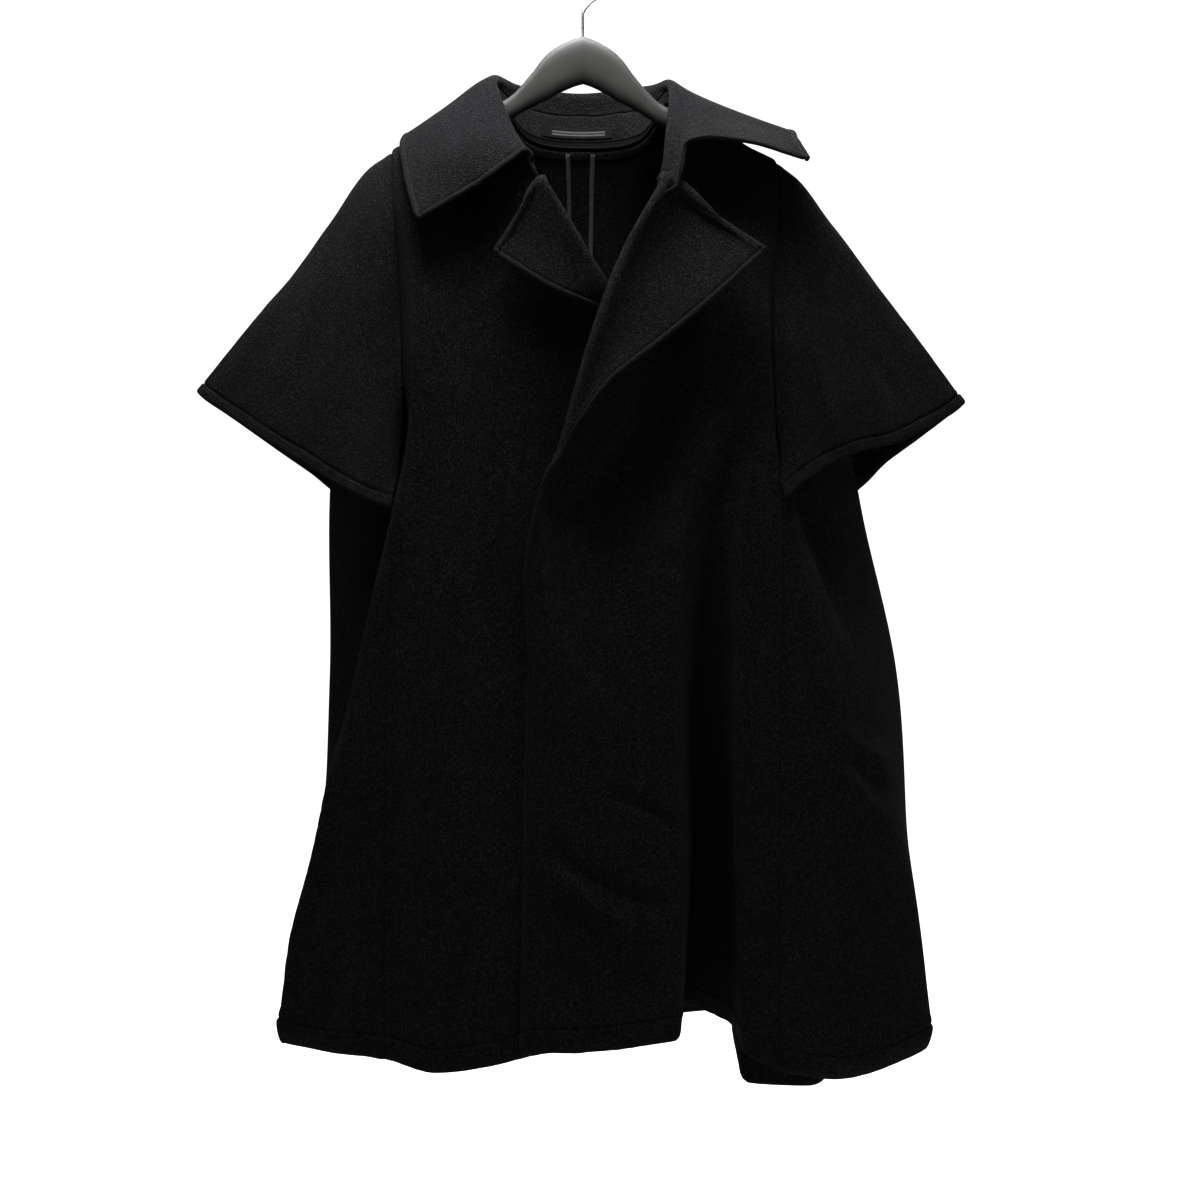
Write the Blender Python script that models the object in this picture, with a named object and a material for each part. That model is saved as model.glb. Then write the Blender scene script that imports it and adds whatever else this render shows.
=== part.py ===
"""A wool shawl coat with cape sleeves on a hanger, one solid for each cut piece.

Tables are in millimetres and metres come out: MM turns one into the other.
+Z is up, the coat's front faces -Y, and the origin is the inner top of the
hook, where a rail carries it.  "left" and "right" are the wearer's, so the
left front, which laps over the right one, lies at +X.
"""
import bpy
import numpy as np

for old in list(bpy.data.objects):
    bpy.data.objects.remove(old, do_unlink=True)

MM = 0.001
CLOTH = 2.6           # thickness of the felted wool
SEAM = 0.15           # how far a wall ends short of its seam line
TOP_SEAM = 1.0        # the same, at the shoulder ridge
ANGLED_SEAM = 1.5     # the same, where the sleeve leaves its armhole

# ---------------------------------------------------------------- body
# A line runs down the coat from the shoulder or the neck to the hem.  Its knots
# lie at these distances down the cloth, and the middle ones at these heights.
DOWN = np.array([0.0, 25.0, 75.0, 130.0, 186.0, 280.0, 383.0, 560.0, 750.0, 945.0])
HEIGHTS = (-260.0, -315.0, -371.0, -465.0, -568.0, -745.0, -935.0)
UNDERARM = 363.0      # distance down the armhole where the sleeve's hem starts
SIDE_TOP = 330.0      # distance down where the side panel's armhole edge lies
TUCK = 6.5            # how far the side panel lies inside the sleeve's seam there
BINDING_AT = (0.36, 0.52)     # columns of the back between which each bound edge lies

# The shoulder ridge falls from the neck point on both sides, and tilts a little.
NECK_POINT = 92.0
RIDGE_TOP = -148.5
RIDGE_SLOPE = 0.535
RIDGE_TILT = 0.026
RIDGE_ROUND = (15.0, 5.0)     # half width and drop of the rounding over the hanger
NECK_ROUND = (16.0, 9.0)      # the same, at the neck points
# How far the walls on both sides of the neck seam end short of it, by collar
# station: most at the neck points, where they meet at a sharp angle.
NECK_GAP = ((0.0, 0.5), (1.0, 1.0), (1.5, 1.8), (2.5, 1.8), (3.2, 1.0), (3.6, 0.5),
            (4.4, 0.5), (4.8, 1.0), (5.5, 1.8), (6.5, 1.8), (7.0, 1.0), (8.0, 0.5))
# How far each front leaves its neckline sideways, by collar station.
NECK_FLARE = ((0.0, 0.0), (1.0, -3.0), (1.6, -9.0), (2.0, -3.0), (2.4, 0.0),
              (5.6, 0.0), (6.0, 3.0), (6.4, 9.0), (7.0, 3.0), (8.0, 0.0))


def ridge_height(x):
    """Height of the shoulder ridge: a straight fall with distance from the neck."""
    return RIDGE_TOP - RIDGE_SLOPE * (np.abs(x) - NECK_POINT) - RIDGE_TILT * x


# The collar, a row for each station round the neck from the right front's end
# to the left front's: neck seam, roll, shoulder of the fall, middle, outer edge.
COLLAR = {
    "right end":   ((-43, -84, -249), (-54, -88, -221), (-78, -96, -238),
                    (-106, -99, -259), (-165, -97, -293)),
    "right front": ((-68, -58, -209), (-71, -60, -190), (-97, -70, -196),
                    (-128, -74, -211), (-183, -52, -232)),
    "right side":  ((-92, -2, -144.7), (-93, 4, -120), (-116, 6, -129),
                    (-142, 5, -149), (-187, 4, -181)),
    "right back":  ((-60, 46, -177), (-66, 56, -114), (-84, 70, -120),
                    (-106, 77, -142), (-132, 84, -180)),
    "centre back": ((-4, 62, -183), (-3, 73, -117), (-2, 84, -122),
                    (-1, 87, -148), (0, 86, -198)),
    "left back":   ((60, 46, -179), (69, 56, -114), (88, 70, -119),
                    (112, 76, -138), (138, 84, -175)),
    "left side":   ((92, -2, -149.5), (91, 2, -126), (116, 6, -136),
                    (152, 8, -151), (214, 9, -176)),
    "left front":  ((86, -58, -209), (87, -62, -190), (120, -58, -181),
                    (160, -46, -183), (223, -34, -196)),
    "left end":    ((83, -88, -249), (82, -93, -229), (118, -95, -210),
                    (168, -91, -213), (230, -79, -228)),
}
COLLAR_ROLL = 6.5       # radius of the fold at the top of the collar
STAND_SHARE = 0.62      # where the stand meets the fall, from neck seam to roll

# Body lines: name, where it starts, (x, y) at each height, hem (x, y, z).
# A start is the x of a point on the ridge, or ("neck", station), or a point.
LEFT_FRONT = (
    ("left hinge", ("neck", 8.0),
     ((77, -90), (46, -94), (27, -96), (-1, -96), (-22, -88), (-5, -84), (-5, -84)),
     (-8, -82, -1124)),
    ("left neckline", ("neck", 7.0),
     ((82, -74), (62, -80), (52, -80), (30, -74), (5, -74), (7, -82), (7, -84)),
     (4, -82, -1123)),
    ("left centre", ("neck", 6.0),
     ((105, -50), (98, -57), (93, -60), (70, -60), (38, -65), (26, -82), (26, -85)),
     (26, -83, -1121)),
    ("left fold", 118,
     ((124, -50), (134, -58), (140, -62), (150, -74), (102, -83), (90, -89), (96, -91)),
     (93, -88, -1110)),
    ("left valley", 144,
     ((150, -46), (160, -56), (166, -62), (173, -66), (138, -62), (118, -32), (120, 8)),
     (111, 45, -1106)),
    ("left return", 158,
     ((164, -44), (172, -54), (177, -60), (182, -66), (155, -67), (145, -42), (149, -14)),
     (158, 12, -1120)),
    ("left rise", 172,
     ((178, -42), (184, -52), (188, -58), (190, -66), (171, -76), (160, -68), (158, -62)),
     (164, -57, -1129)),
)
LEFT_SEAM = (
    ("left front seam", 200,
     ((203, -33), (204, -41), (204, -48), (204, -59), (204, -70), (200, -74), (198, -72)),
     (199, -63, -1146)),
)
LEFT_SIDE = (
    ("left flat", None,
     ((207, -48),) * 4 + ((213, -67), (231, -76), (268, -70)), (267, -59, -1158)),
    ("left crease", None,
     ((214, -30),) * 4 + ((218, -52), (269, -61), (334, -33)), (363, -26, -1132)),
    ("left side", None,
     ((278, 32),) * 4 + ((296, 37), (333, 31), (345, 40)), (347, 42, -1148)),
    ("left hind", None,
     ((258, 64),) * 4 + ((278, 73), (310, 84), (322, 94)), (331, 92, -1152)),
)
LEFT_BACK = (
    ("left back seam", 200,
     ((205, 38), (207, 51), (210, 62), (217, 77), (228, 91), (250, 104), (268, 106)),
     (283, 88, -1156)),
    ("left outer", 172,
     ((173, 54), (175, 70), (177, 82), (180, 94), (186, 105), (205, 108), (226, 74)),
     (240, 26, -1186)),
    ("left flute", 144,
     ((140, 62), (138, 76), (138, 86), (138, 96), (140, 104), (150, 104), (162, 64)),
     (174, 24, -1182)),
    ("left inner", ("neck", 6.0),
     ((102, 68), (98, 80), (96, 88), (94, 96), (94, 103), (104, 115), (129, 113)),
     (162, 106, -1124)),
    ("left neck", ("neck", 5.0),
     ((54, 74), (50, 84), (48, 90), (46, 96), (45, 100), (45, 112), (52, 118)),
     (60, 116, -1136)),
)
CENTRE_BACK = (
    ("centre back", ("neck", 4.0),
     ((-4, 77), (-4, 86), (-4, 91), (-4, 95), (-4, 98), (-3, 106), (-2, 112)),
     (0, 112, -1150)),
)
RIGHT_BACK = (
    ("right neck", ("neck", 3.0),
     ((-54, 74), (-50, 84), (-48, 90), (-46, 96), (-45, 100), (-45, 112), (-45, 118)),
     (-42, 114, -1148)),
    ("right inner", ("neck", 2.0),
     ((-102, 68), (-98, 80), (-96, 88), (-94, 96), (-94, 103), (-95, 114), (-92, 108)),
     (-85, 85, -1158)),
    ("right flute", -144,
     ((-140, 62), (-138, 76), (-138, 86), (-138, 96), (-140, 104), (-145, 108), (-146, 74)),
     (-142, 34, -1172)),
    ("right outer", -172,
     ((-173, 54), (-175, 70), (-177, 82), (-180, 94), (-185, 105), (-198, 108), (-206, 84)),
     (-202, 50, -1164)),
    ("right back seam", -200,
     ((-204, 38), (-206, 51), (-208, 62), (-212, 77), (-222, 91), (-236, 102), (-250, 104)),
     (-268, 98, -1152)),
)
RIGHT_SIDE = (
    ("right hind", None,
     ((-246, 66),) * 4 + ((-258, 74), (-268, 84), (-282, 88)), (-303, 86, -1148)),
    ("right side", None,
     ((-266, 36),) * 4 + ((-271, 38), (-271, 40), (-286, 38)), (-313, 34, -1135)),
    ("right crease", None,
     ((-204, -34),) * 4 + ((-202, -62), (-222, -66), (-274, -50)), (-317, -38, -1123)),
    ("right flat", None,
     ((-196, -50),) * 4 + ((-196, -70), (-209, -75), (-232, -68)), (-256, -58, -1131)),
)
RIGHT_SEAM = (
    ("right front seam", -200,
     ((-197, -33), (-195, -40), (-194, -46), (-192, -59), (-191, -72), (-196, -75), (-198, -72)),
     (-200, -63, -1135)),
)
RIGHT_FRONT = (
    ("right crest", -168,
     ((-170, -50), (-168, -64), (-165, -78), (-172, -83), (-180, -81), (-163, -82), (-153, -84)),
     (-148, -81, -1144)),
    ("right mid", -128,
     ((-122, -54), (-116, -64), (-113, -70), (-112, -75), (-113, -79), (-108, -81), (-98, -81)),
     (-93, -79, -1138)),
    ("right centre", ("neck", 2.0),
     ((-100, -54), (-84, -65), (-66, -69), (-50, -70), (-46, -73), (-46, -75), (-44, -76)),
     (-42, -74, -1127)),
    ("right neckline", ("neck", 1.0),
     ((-52, -76), (-26, -78), (-4, -72), (8, -62), (14, -62), (10, -73), (8, -75)),
     (6, -73, -1123)),
    ("right hinge", ("neck", 0.0),
     ((-35, -85), (-2, -83), (26, -72), (34, -57), (38, -56), (34, -72), (32, -75)),
     (30, -73, -1121)),
)
BODY = (LEFT_FRONT + LEFT_SEAM + LEFT_SIDE + LEFT_BACK + CENTRE_BACK
        + RIGHT_BACK + RIGHT_SIDE + RIGHT_SEAM + RIGHT_FRONT)
LINE = {row[0]: at for at, row in enumerate(BODY)}

# Each front's free edge, beyond the hinge, at the ten knots.  Where the fold is
# 180 degrees it is the lapel, turned out on the hinge; lower down it lies flat.
LEFT_EDGE = {
    "edge": ((185, -112, -323), (182, -113, -326), (174, -113, -333), (131, -112, -372),
             (84, -111, -411), (20, -112, -464), (-44, -101, -573), (-55, -83, -745),
             (-60, -81, -935), (-63, -80, -1128)),
    "fold": (180, 180, 180, 180, 180, 165, 40, 0, 0, 0),
    "radius": (6, 6, 6, 6, 6, 6, 6, 6, 6, 6),
}
RIGHT_EDGE = {
    "edge": ((-90, -99, -323), (-88, -99, -325), (-79, -99, -331), (-31, -97, -360),
             (30, -78, -386), (46, -56, -468), (55, -56, -568), (58, -72, -745),
             (55, -76, -935), (52, -74, -1120)),
    "fold": (180, 180, 180, 180, 100, 20, 0, 0, 0, 0),
    "radius": (5, 5, 5, 5, 5, 5, 5, 5, 5, 5),
}

# Sleeves: a row for each place round the armhole, from the front underarm (-1)
# over the ridge (0) to the back underarm (1), with its point on the hem.
LEFT_HEM = (
    (-1.00, (213, -77, -560)), (-0.80, (228, -67, -546)), (-0.60, (256, -57, -529)),
    (-0.42, (288, -48, -516)), (-0.27, (322, -38, -508)), (-0.14, (361, -24, -489)),
    (-0.05, (391, -11, -471)), (0.00, (400, 0, -463)), (0.05, (391, 11, -471)),
    (0.16, (358, 27, -497)), (0.34, (324, 43, -523)), (0.60, (305, 62, -544)),
    (0.80, (286, 88, -559)), (1.00, (250, 103, -571)),
)
RIGHT_HEM = (
    (-1.00, (-201, -83, -564)), (-0.80, (-226, -72, -560)), (-0.60, (-255, -60, -548)),
    (-0.42, (-288, -50, -528)), (-0.27, (-322, -40, -508)), (-0.14, (-364, -25, -480)),
    (-0.05, (-396, -11, -459)), (0.00, (-405, 0, -451)), (0.05, (-396, 11, -459)),
    (0.16, (-362, 28, -484)), (0.34, (-322, 44, -513)), (0.60, (-293, 62, -534)),
    (0.80, (-276, 84, -549)), (1.00, (-244, 103, -564)),
)
# How far each sleeve's ridge stands above the chord from shoulder to hem.
LEFT_BOW = ((0.0, 0.0), (0.13, 14.0), (0.30, 11.0), (0.50, 7.0), (0.75, 5.0), (1.0, 0.0))
RIGHT_BOW = ((0.0, 0.0), (0.13, 14.0), (0.30, 7.0), (0.50, -1.0), (0.75, 1.0), (1.0, 0.0))

LAPEL_STEADY = 130.0    # above this distance down, the lapel rolls the way it does here

# ---------------------------------------------------------------- curves
def smooth(knots, values, at, monotone=False):
    """Cubic curve through values at knots; monotone keeps it from overshooting."""
    knots = np.asarray(knots, float)
    values = np.asarray(values, float)
    at = np.clip(np.asarray(at, float), knots[0], knots[-1])
    column = (slice(None),) + (None,) * (values.ndim - 1)
    step = np.diff(knots)[column]
    slope = np.diff(values, axis=0) / step
    tangent = np.empty_like(values)
    tangent[0], tangent[-1] = slope[0], slope[-1]
    before, after = slope[:-1], slope[1:]
    if monotone:
        same = before * after > 0
        total = np.where(same, before + after, 1.0)
        tangent[1:-1] = np.where(same, 2.0 * before * after / total, 0.0)
    else:
        tangent[1:-1] = (before * step[1:] + after * step[:-1]) / (step[1:] + step[:-1])
    cell = np.clip(np.searchsorted(knots, at, side="right") - 1, 0, len(knots) - 2)
    width = step[cell]
    t = ((at - knots[cell])[column]) / width
    return (values[cell] * (1 + 2 * t) * (1 - t) ** 2 + tangent[cell] * width * t * (1 - t) ** 2
            + values[cell + 1] * t ** 2 * (3 - 2 * t) + tangent[cell + 1] * width * t ** 2 * (t - 1))


def unit(vectors):
    """Vectors of length one."""
    length = np.linalg.norm(vectors, axis=-1, keepdims=True)
    return vectors / np.maximum(length, 1e-9)


def neck_line(station):
    """Point of the neck seam at a collar station, 0 at the right end to 8."""
    seam = np.array([row[0] for row in COLLAR.values()], float)
    return smooth(np.arange(len(seam)), seam, station)


# ---------------------------------------------------------------- body surface
OVER_HANGER = (("neck", 2.0), ("neck", 6.0))    # neck points, where the arms pass under


def line_knots():
    """Every body line's ten knots; ridge starts are set on the ridge."""
    knots = np.zeros((len(BODY), len(DOWN), 3))
    for row, (name, start, middle, hem) in enumerate(BODY):
        knots[row, 2:-1, :2] = middle
        knots[row, 2:-1, 2] = HEIGHTS
        knots[row, -1] = hem
        if start is None:
            knots[row, :2] = knots[row, 2]
        elif isinstance(start, tuple):
            knots[row, 0] = neck_line(np.array([start[1]]))[0]
            knots[row, 1] = 0.62 * knots[row, 0] + 0.38 * knots[row, 2]
        else:
            knots[row, 0] = (start, 0.0, ridge_height(start))
        if start in OVER_HANGER or isinstance(start, int):
            half, drop = RIDGE_ROUND if isinstance(start, int) else NECK_ROUND
            knots[row, 1, 0] = 0.5 * (knots[row, 0, 0] + middle[0][0])
            knots[row, 1, 1] = np.sign(middle[0][1]) * half
            knots[row, 1, 2] = knots[row, 0, 2] - drop
    return knots


BODY_KNOTS = line_knots()


def neck_station(across):
    """Collar station above a place across the body, where one is given."""
    places = [at for at, row in enumerate(BODY) if isinstance(row[1], tuple)]
    stations = [BODY[at][1][1] for at in places]
    return np.interp(across, places, stations)


def starts_on_neck(across):
    """Whether the line down from each place across starts at the neck seam."""
    first = np.floor(across).astype(int)
    last = np.ceil(across).astype(int)
    return np.array([isinstance(BODY[a][1], tuple) and isinstance(BODY[b][1], tuple)
                     for a, b in zip(first, last)])


def body_points(across, down):
    """Points of the body surface on the grid of places across and distances down."""
    rows = np.arange(len(BODY))
    knots = smooth(rows, BODY_KNOTS, across, monotone=True)
    on_neck = starts_on_neck(across)
    station = neck_station(across)
    onto_neck = neck_line(station) - knots[:, 0]
    knots[on_neck, :2] += onto_neck[on_neck, None]
    knots[on_neck, 1, 0] += np.interp(station, *np.array(NECK_FLARE).T)[on_neck]
    on_ridge = ~on_neck & (np.abs(knots[:, 0, 0]) > NECK_POINT)
    knots[on_ridge, 0, 2] = ridge_height(knots[on_ridge, 0, 0])
    return np.swapaxes(smooth(DOWN, np.swapaxes(knots, 0, 1), down), 0, 1)


def places(names, cells):
    """Places across the body between named lines, so many cells in each gap."""
    at = [LINE[name] for name in names]
    spans = [np.linspace(a, b, n, endpoint=False) for a, b, n in zip(at, at[1:], cells)]
    return np.concatenate(spans + [[at[-1]]])


def trim(grid, first=0.0, last=0.0, axis=0):
    """A grid whose first and last rows are drawn in along the surface."""
    grid = np.moveaxis(grid.copy(), axis, 0)
    grid[0] += unit(grid[1] - grid[0]) * first
    grid[-1] += unit(grid[-2] - grid[-1]) * last
    return np.moveaxis(grid, 0, axis)


def clear_top(grid, gap):
    """A grid whose top row moves down its lines until it lies the gap from the edge."""
    grid = grid.copy()
    edge = unit(np.gradient(grid[:, 0], axis=0))
    down = unit(grid[:, 1] - grid[:, 0])
    slant = np.linalg.norm(np.cross(edge, down), axis=1)
    grid[:, 0] += down * (gap / np.maximum(slant, 0.4))[:, None]
    return grid


def top_gap(across):
    """Gap above each line: by the neck seam's table, or the ridge's own."""
    at_neck = np.interp(neck_station(across), *np.array(NECK_GAP).T)
    return np.where(starts_on_neck(across), at_neck, TOP_SEAM)


def lapel_rows(panel, down, edge, arc_cells, flap_cells):
    """Columns from the hinge to the free edge, turned out round the hinge.

    The roll is an arc whose angle and radius come from the edge's table, in the
    plane square to the hinge.  From the arc's end a cubic runs to the edge.
    """
    hinge, before = panel[0], panel[1]
    target = smooth(DOWN, edge["edge"], down)
    turn = np.radians(smooth(DOWN, edge["fold"], down, monotone=True))[:, None]
    radius = smooth(DOWN, edge["radius"], down)[:, None]
    along = unit(np.gradient(hinge, axis=0))
    onward = hinge - before
    below_top = np.argmax(down >= LAPEL_STEADY)
    onward[:below_top] = onward[below_top]
    onward = unit(onward - along * np.sum(onward * along, axis=1, keepdims=True))
    outward = np.cross(along, onward)
    outward *= np.where(outward[:, 1:2] > 0, -1.0, 1.0)
    reach = np.linalg.norm(target - hinge, axis=1, keepdims=True)
    columns = []
    for share in np.linspace(0.0, 1.0, arc_cells + 1)[1:]:
        angle = turn * share
        flat = (1.0 - turn / np.pi) * share * reach / 2.0
        columns.append(hinge + onward * (radius * np.sin(angle) + flat)
                       + outward * radius * (1.0 - np.cos(angle)))
    start = columns[-1]
    leaving = onward * np.cos(turn) + outward * np.sin(turn)
    chord = np.linalg.norm(target - start, axis=1, keepdims=True)
    arriving = unit(unit(target - start) + 0.25 * outward)
    for share in np.linspace(0.0, 1.0, flap_cells + 1)[1:]:
        t = share
        columns.append(start * (1 + 2 * t) * (1 - t) ** 2 + leaving * chord * t * (1 - t) ** 2
                       + target * t ** 2 * (3 - 2 * t) + arriving * chord * t ** 2 * (t - 1))
    return np.array(columns[::-1])


# ---------------------------------------------------------------- solids
def grid_normals(grid):
    """Unit normals of a grid of points, from the faces round each point."""
    du = grid[1:, :-1] - grid[:-1, :-1]
    dv = grid[:-1, 1:] - grid[:-1, :-1]
    du2 = grid[1:, 1:] - grid[:-1, 1:]
    dv2 = grid[1:, 1:] - grid[1:, :-1]
    face = unit(np.cross(du, dv)) + unit(np.cross(du2, dv2))
    face = unit(face)
    total = np.zeros_like(grid)
    total[:-1, :-1] += face
    total[1:, :-1] += face
    total[:-1, 1:] += face
    total[1:, 1:] += face
    return unit(total)


def wall_mesh(name, low, high, material):
    """A closed solid between two grids of points, with its rim."""
    rows, columns = low.shape[:2]
    points = np.concatenate([low.reshape(-1, 3), high.reshape(-1, 3)]) * MM
    index = np.arange(rows * columns).reshape(rows, columns)
    over = index + rows * columns
    a, b = index[:-1, :-1], index[1:, :-1]
    c, d = index[1:, 1:], index[:-1, 1:]
    quads = [np.stack([a, d, c, b], -1).reshape(-1, 4),
             np.stack([a, b, c, d], -1).reshape(-1, 4) + rows * columns]
    ring = np.concatenate([index[:, 0], index[-1, 1:], index[-2::-1, -1], index[0, -2:0:-1]])
    following = np.roll(ring, -1)
    top = ring + rows * columns
    quads.append(np.stack([ring, following, following + rows * columns, top], -1))
    return solid(name, points, np.concatenate(quads), material)


def solid(name, points, faces, material):
    """An object from points in metres and faces, its faces pointing out."""
    mesh = bpy.data.meshes.new(name)
    mesh.from_pydata([tuple(p) for p in points], [], [tuple(int(i) for i in f) for f in faces])
    mesh.update()
    volume = signed_volume(mesh)
    if volume < 0:
        mesh.flip_normals()
    mesh.shade_smooth()
    mesh.set_sharp_from_angle(angle=np.radians(50))
    mesh.materials.append(material)
    made = bpy.data.objects.new(name, mesh)
    bpy.context.collection.objects.link(made)
    return made


def signed_volume(mesh):
    """Volume inside a closed mesh, negative where its faces point inwards."""
    mesh.calc_loop_triangles()
    points = np.array([v.co[:] for v in mesh.vertices])
    corner = np.array([t.vertices[:] for t in mesh.loop_triangles])
    a, b, c = points[corner[:, 0]], points[corner[:, 1]], points[corner[:, 2]]
    return float(np.sum(np.cross(a, b) * c) / 6.0)


def cloth(name, grid, material, thickness=CLOTH, first_normal=None, last_normal=None):
    """A wall of cloth, half of its thickness on each side of the grid."""
    normal = grid_normals(grid)
    for row, given in ((0, first_normal), (-1, last_normal)):
        if given is not None:
            normal[row] = given * np.sign(np.sum(normal[row] * given))
    normal *= thickness / 2.0
    return wall_mesh(name, grid - normal, grid + normal, material)


def paint(name, colour, roughness, metallic=0.0):
    """A plain Principled material."""
    material = bpy.data.materials.new(name)
    material.use_nodes = True
    shader = material.node_tree.nodes["Principled BSDF"]
    shader.inputs["Base Color"].default_value = (*colour, 1.0)
    shader.inputs["Roughness"].default_value = roughness
    shader.inputs["Metallic"].default_value = metallic
    return material


FELT = paint("felted wool", (0.020, 0.021, 0.025), 0.95)
SATIN = paint("satin binding", (0.32, 0.33, 0.34), 0.55)
LABEL = paint("woven label", (0.05, 0.05, 0.055), 0.8)
PLASTIC = paint("dark grey hanger plastic", (0.045, 0.045, 0.048), 0.55)
STEEL = paint("steel wire", (0.62, 0.62, 0.63), 0.28, 1.0)

# ---------------------------------------------------------------- fronts
# Both walls along a seam use the same distances down, so that their edges match.
SHOULDER_DOWN = np.linspace(0, 75, 5)[:-1]
SIDE_DOWN = np.concatenate([np.linspace(SIDE_TOP, 400, 5)[:-1], np.linspace(400, 945, 12)])
FRONT_DOWN = np.concatenate([SHOULDER_DOWN, np.linspace(75, 260, 7)[:-1],
                             np.linspace(260, SIDE_TOP, 5)[:-1], SIDE_DOWN])
BACK_DOWN = np.concatenate([SHOULDER_DOWN, np.linspace(75, SIDE_TOP, 6)[:-1], SIDE_DOWN])


def seam_normals(across, down):
    """Normals of the body along one line, the same for the walls on both sides."""
    step = 0.04
    beside = body_points(np.array([across - step, across + step]), down)
    return unit(np.cross(beside[1] - beside[0], np.gradient(body_points(
        np.array([across]), down)[0], axis=0)))


def front(name, line_names, cells, edge, end_first):
    """One front in one piece with its lapel; end_first says the hinge leads."""
    across = places(line_names, cells)
    panel = body_points(across, FRONT_DOWN)
    seam = seam_normals(across[-1] if end_first else across[0], FRONT_DOWN)
    gap = top_gap(across)
    if not end_first:
        panel, gap, seam = panel[::-1], gap[::-1], -seam
    lapel = lapel_rows(panel, FRONT_DOWN, edge, 6, 5)
    grid = trim(np.concatenate([lapel, panel]), last=SEAM)
    grid = clear_top(grid, np.concatenate([np.full(len(lapel), gap[0]), gap]))
    return cloth(name, grid, FELT, last_normal=seam)


front("front_left", ("left hinge", "left neckline", "left centre", "left fold", "left valley",
                     "left return", "left rise", "left front seam"), (3, 2, 3, 3, 2, 2, 2),
      LEFT_EDGE, True)
front("front_right", ("right front seam", "right crest", "right mid", "right centre",
                      "right neckline", "right hinge"), (3, 2, 3, 2, 2), RIGHT_EDGE, False)


# ---------------------------------------------------------------- backs and sides
def panel(name, line_names, cells, down, tucked=False):
    """A back or a side between two seams; a tucked one starts inside the sleeve."""
    across = places(line_names, cells)
    grid = body_points(across, down)
    if tucked:
        share = np.clip((UNDERARM + 18.0 - down) / 14.0, 0.0, 1.0)
        inward = TUCK * share * share * (3.0 - 2.0 * share)
        for column, part in ((0, 1.0), (1, 0.8), (2, 0.5), (3, 0.2)):
            for end in (column, -1 - column):
                grid[end, :, 1] -= np.sign(grid[end, :, 1]) * inward * part
    grid = clear_top(trim(grid, SEAM, SEAM), top_gap(across))
    return cloth(name, grid, FELT, first_normal=seam_normals(across[0], down),
                 last_normal=seam_normals(across[-1], down))


panel("side_left", ("left front seam", "left flat", "left crease", "left side", "left hind",
                    "left back seam"), (3, 3, 3, 2, 2), SIDE_DOWN, tucked=True)
panel("back_left", ("left back seam", "left outer", "left flute", "left inner", "left neck",
                    "centre back"), (3, 3, 3, 2, 2), BACK_DOWN)
panel("back_right", ("centre back", "right neck", "right inner", "right flute", "right outer",
                     "right back seam"), (2, 2, 3, 3, 3), BACK_DOWN)
panel("side_right", ("right back seam", "right hind", "right side", "right crease",
                     "right flat", "right front seam"), (2, 2, 3, 3, 3), SIDE_DOWN, tucked=True)


# ---------------------------------------------------------------- sleeves
def sleeve(name, front_seam, back_seam, hem, ridge_bow):
    """A cape sleeve: a fan of rows from the armhole to the hem, folded at its ridge."""
    turn = np.linspace(-1.0, 1.0, 25)
    turn = np.sign(turn) * np.abs(turn) ** 1.6
    armhole = np.where((turn < 0)[:, None],
                       body_points(np.array([LINE[front_seam]]), -turn * UNDERARM)[0],
                       body_points(np.array([LINE[back_seam]]), turn * UNDERARM)[0])
    places_round = np.array([row[0] for row in hem])
    edge = smooth(places_round, np.array([row[1] for row in hem], float), turn, monotone=True)
    along = unit(np.gradient(armhole, axis=0))
    away = edge - armhole
    away = unit(away - along * np.sum(away * along, axis=1, keepdims=True))
    armhole = armhole + away * ANGLED_SEAM
    out = np.linspace(0.0, 1.0, 10)
    grid = armhole[:, None] + (edge - armhole)[:, None] * out[:, None]
    bow = smooth(*np.array(ridge_bow).T, out)
    grid[:, :, 2] += np.exp(-(turn / 0.3) ** 2)[:, None] * bow
    return cloth(name, grid, FELT)


sleeve("sleeve_left", "left front seam", "left back seam", LEFT_HEM, LEFT_BOW)
sleeve("sleeve_right", "right front seam", "right back seam", RIGHT_HEM, RIGHT_BOW)


# ---------------------------------------------------------------- collar
def collar_points(station, place):
    """Points of the whole collar: place 0 at the neck seam, 1 at the top of the
    stand, 3 at the roll and 7 at the outer edge of the fall."""
    rows = np.array(list(COLLAR.values()), float)
    neck, roll, shoulder, middle, edge = np.moveaxis(
        smooth(np.arange(len(rows)), rows, station), 1, 0)
    top = neck + STAND_SHARE * (roll - neck)
    down_in = unit(neck - roll)
    down_out = unit(shoulder - roll)
    outward = unit(down_out - down_in)
    size = np.minimum(COLLAR_ROLL, 0.5 * np.linalg.norm(roll - top, axis=1))[:, None]
    inside = roll + size * (0.8 * down_in - 0.5 * outward)
    outside = roll + size * (0.8 * down_out + 0.5 * outward)
    profile = np.array([neck, top, inside, roll, outside, shoulder, middle, edge])
    return np.swapaxes(smooth(np.arange(len(profile)), profile, place), 0, 1)


def on_grid(grid, normal, rows, columns, distance):
    """Points of a wall's own facets at fractional rows and columns, moved off it."""
    def pick(values):
        low = np.clip(np.floor(rows).astype(int), 0, len(values) - 2)
        share = (np.asarray(rows) - low)[:, None, None]
        values = values[low] * (1 - share) + values[low + 1] * share
        low = np.clip(np.floor(columns).astype(int), 0, values.shape[1] - 2)
        share = (np.asarray(columns) - low)[None, :, None]
        return values[:, low] * (1 - share) + values[:, low + 1] * share
    return pick(grid) + pick(normal) * distance


def facing_in(grid):
    """Unit normals of a grid, on the side of the hollow inside the coat."""
    normal = grid_normals(grid)
    facing = np.sum(normal[..., :2] * -grid[..., :2], axis=-1).mean()
    return normal * (1.0 if facing > 0 else -1.0)


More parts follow.
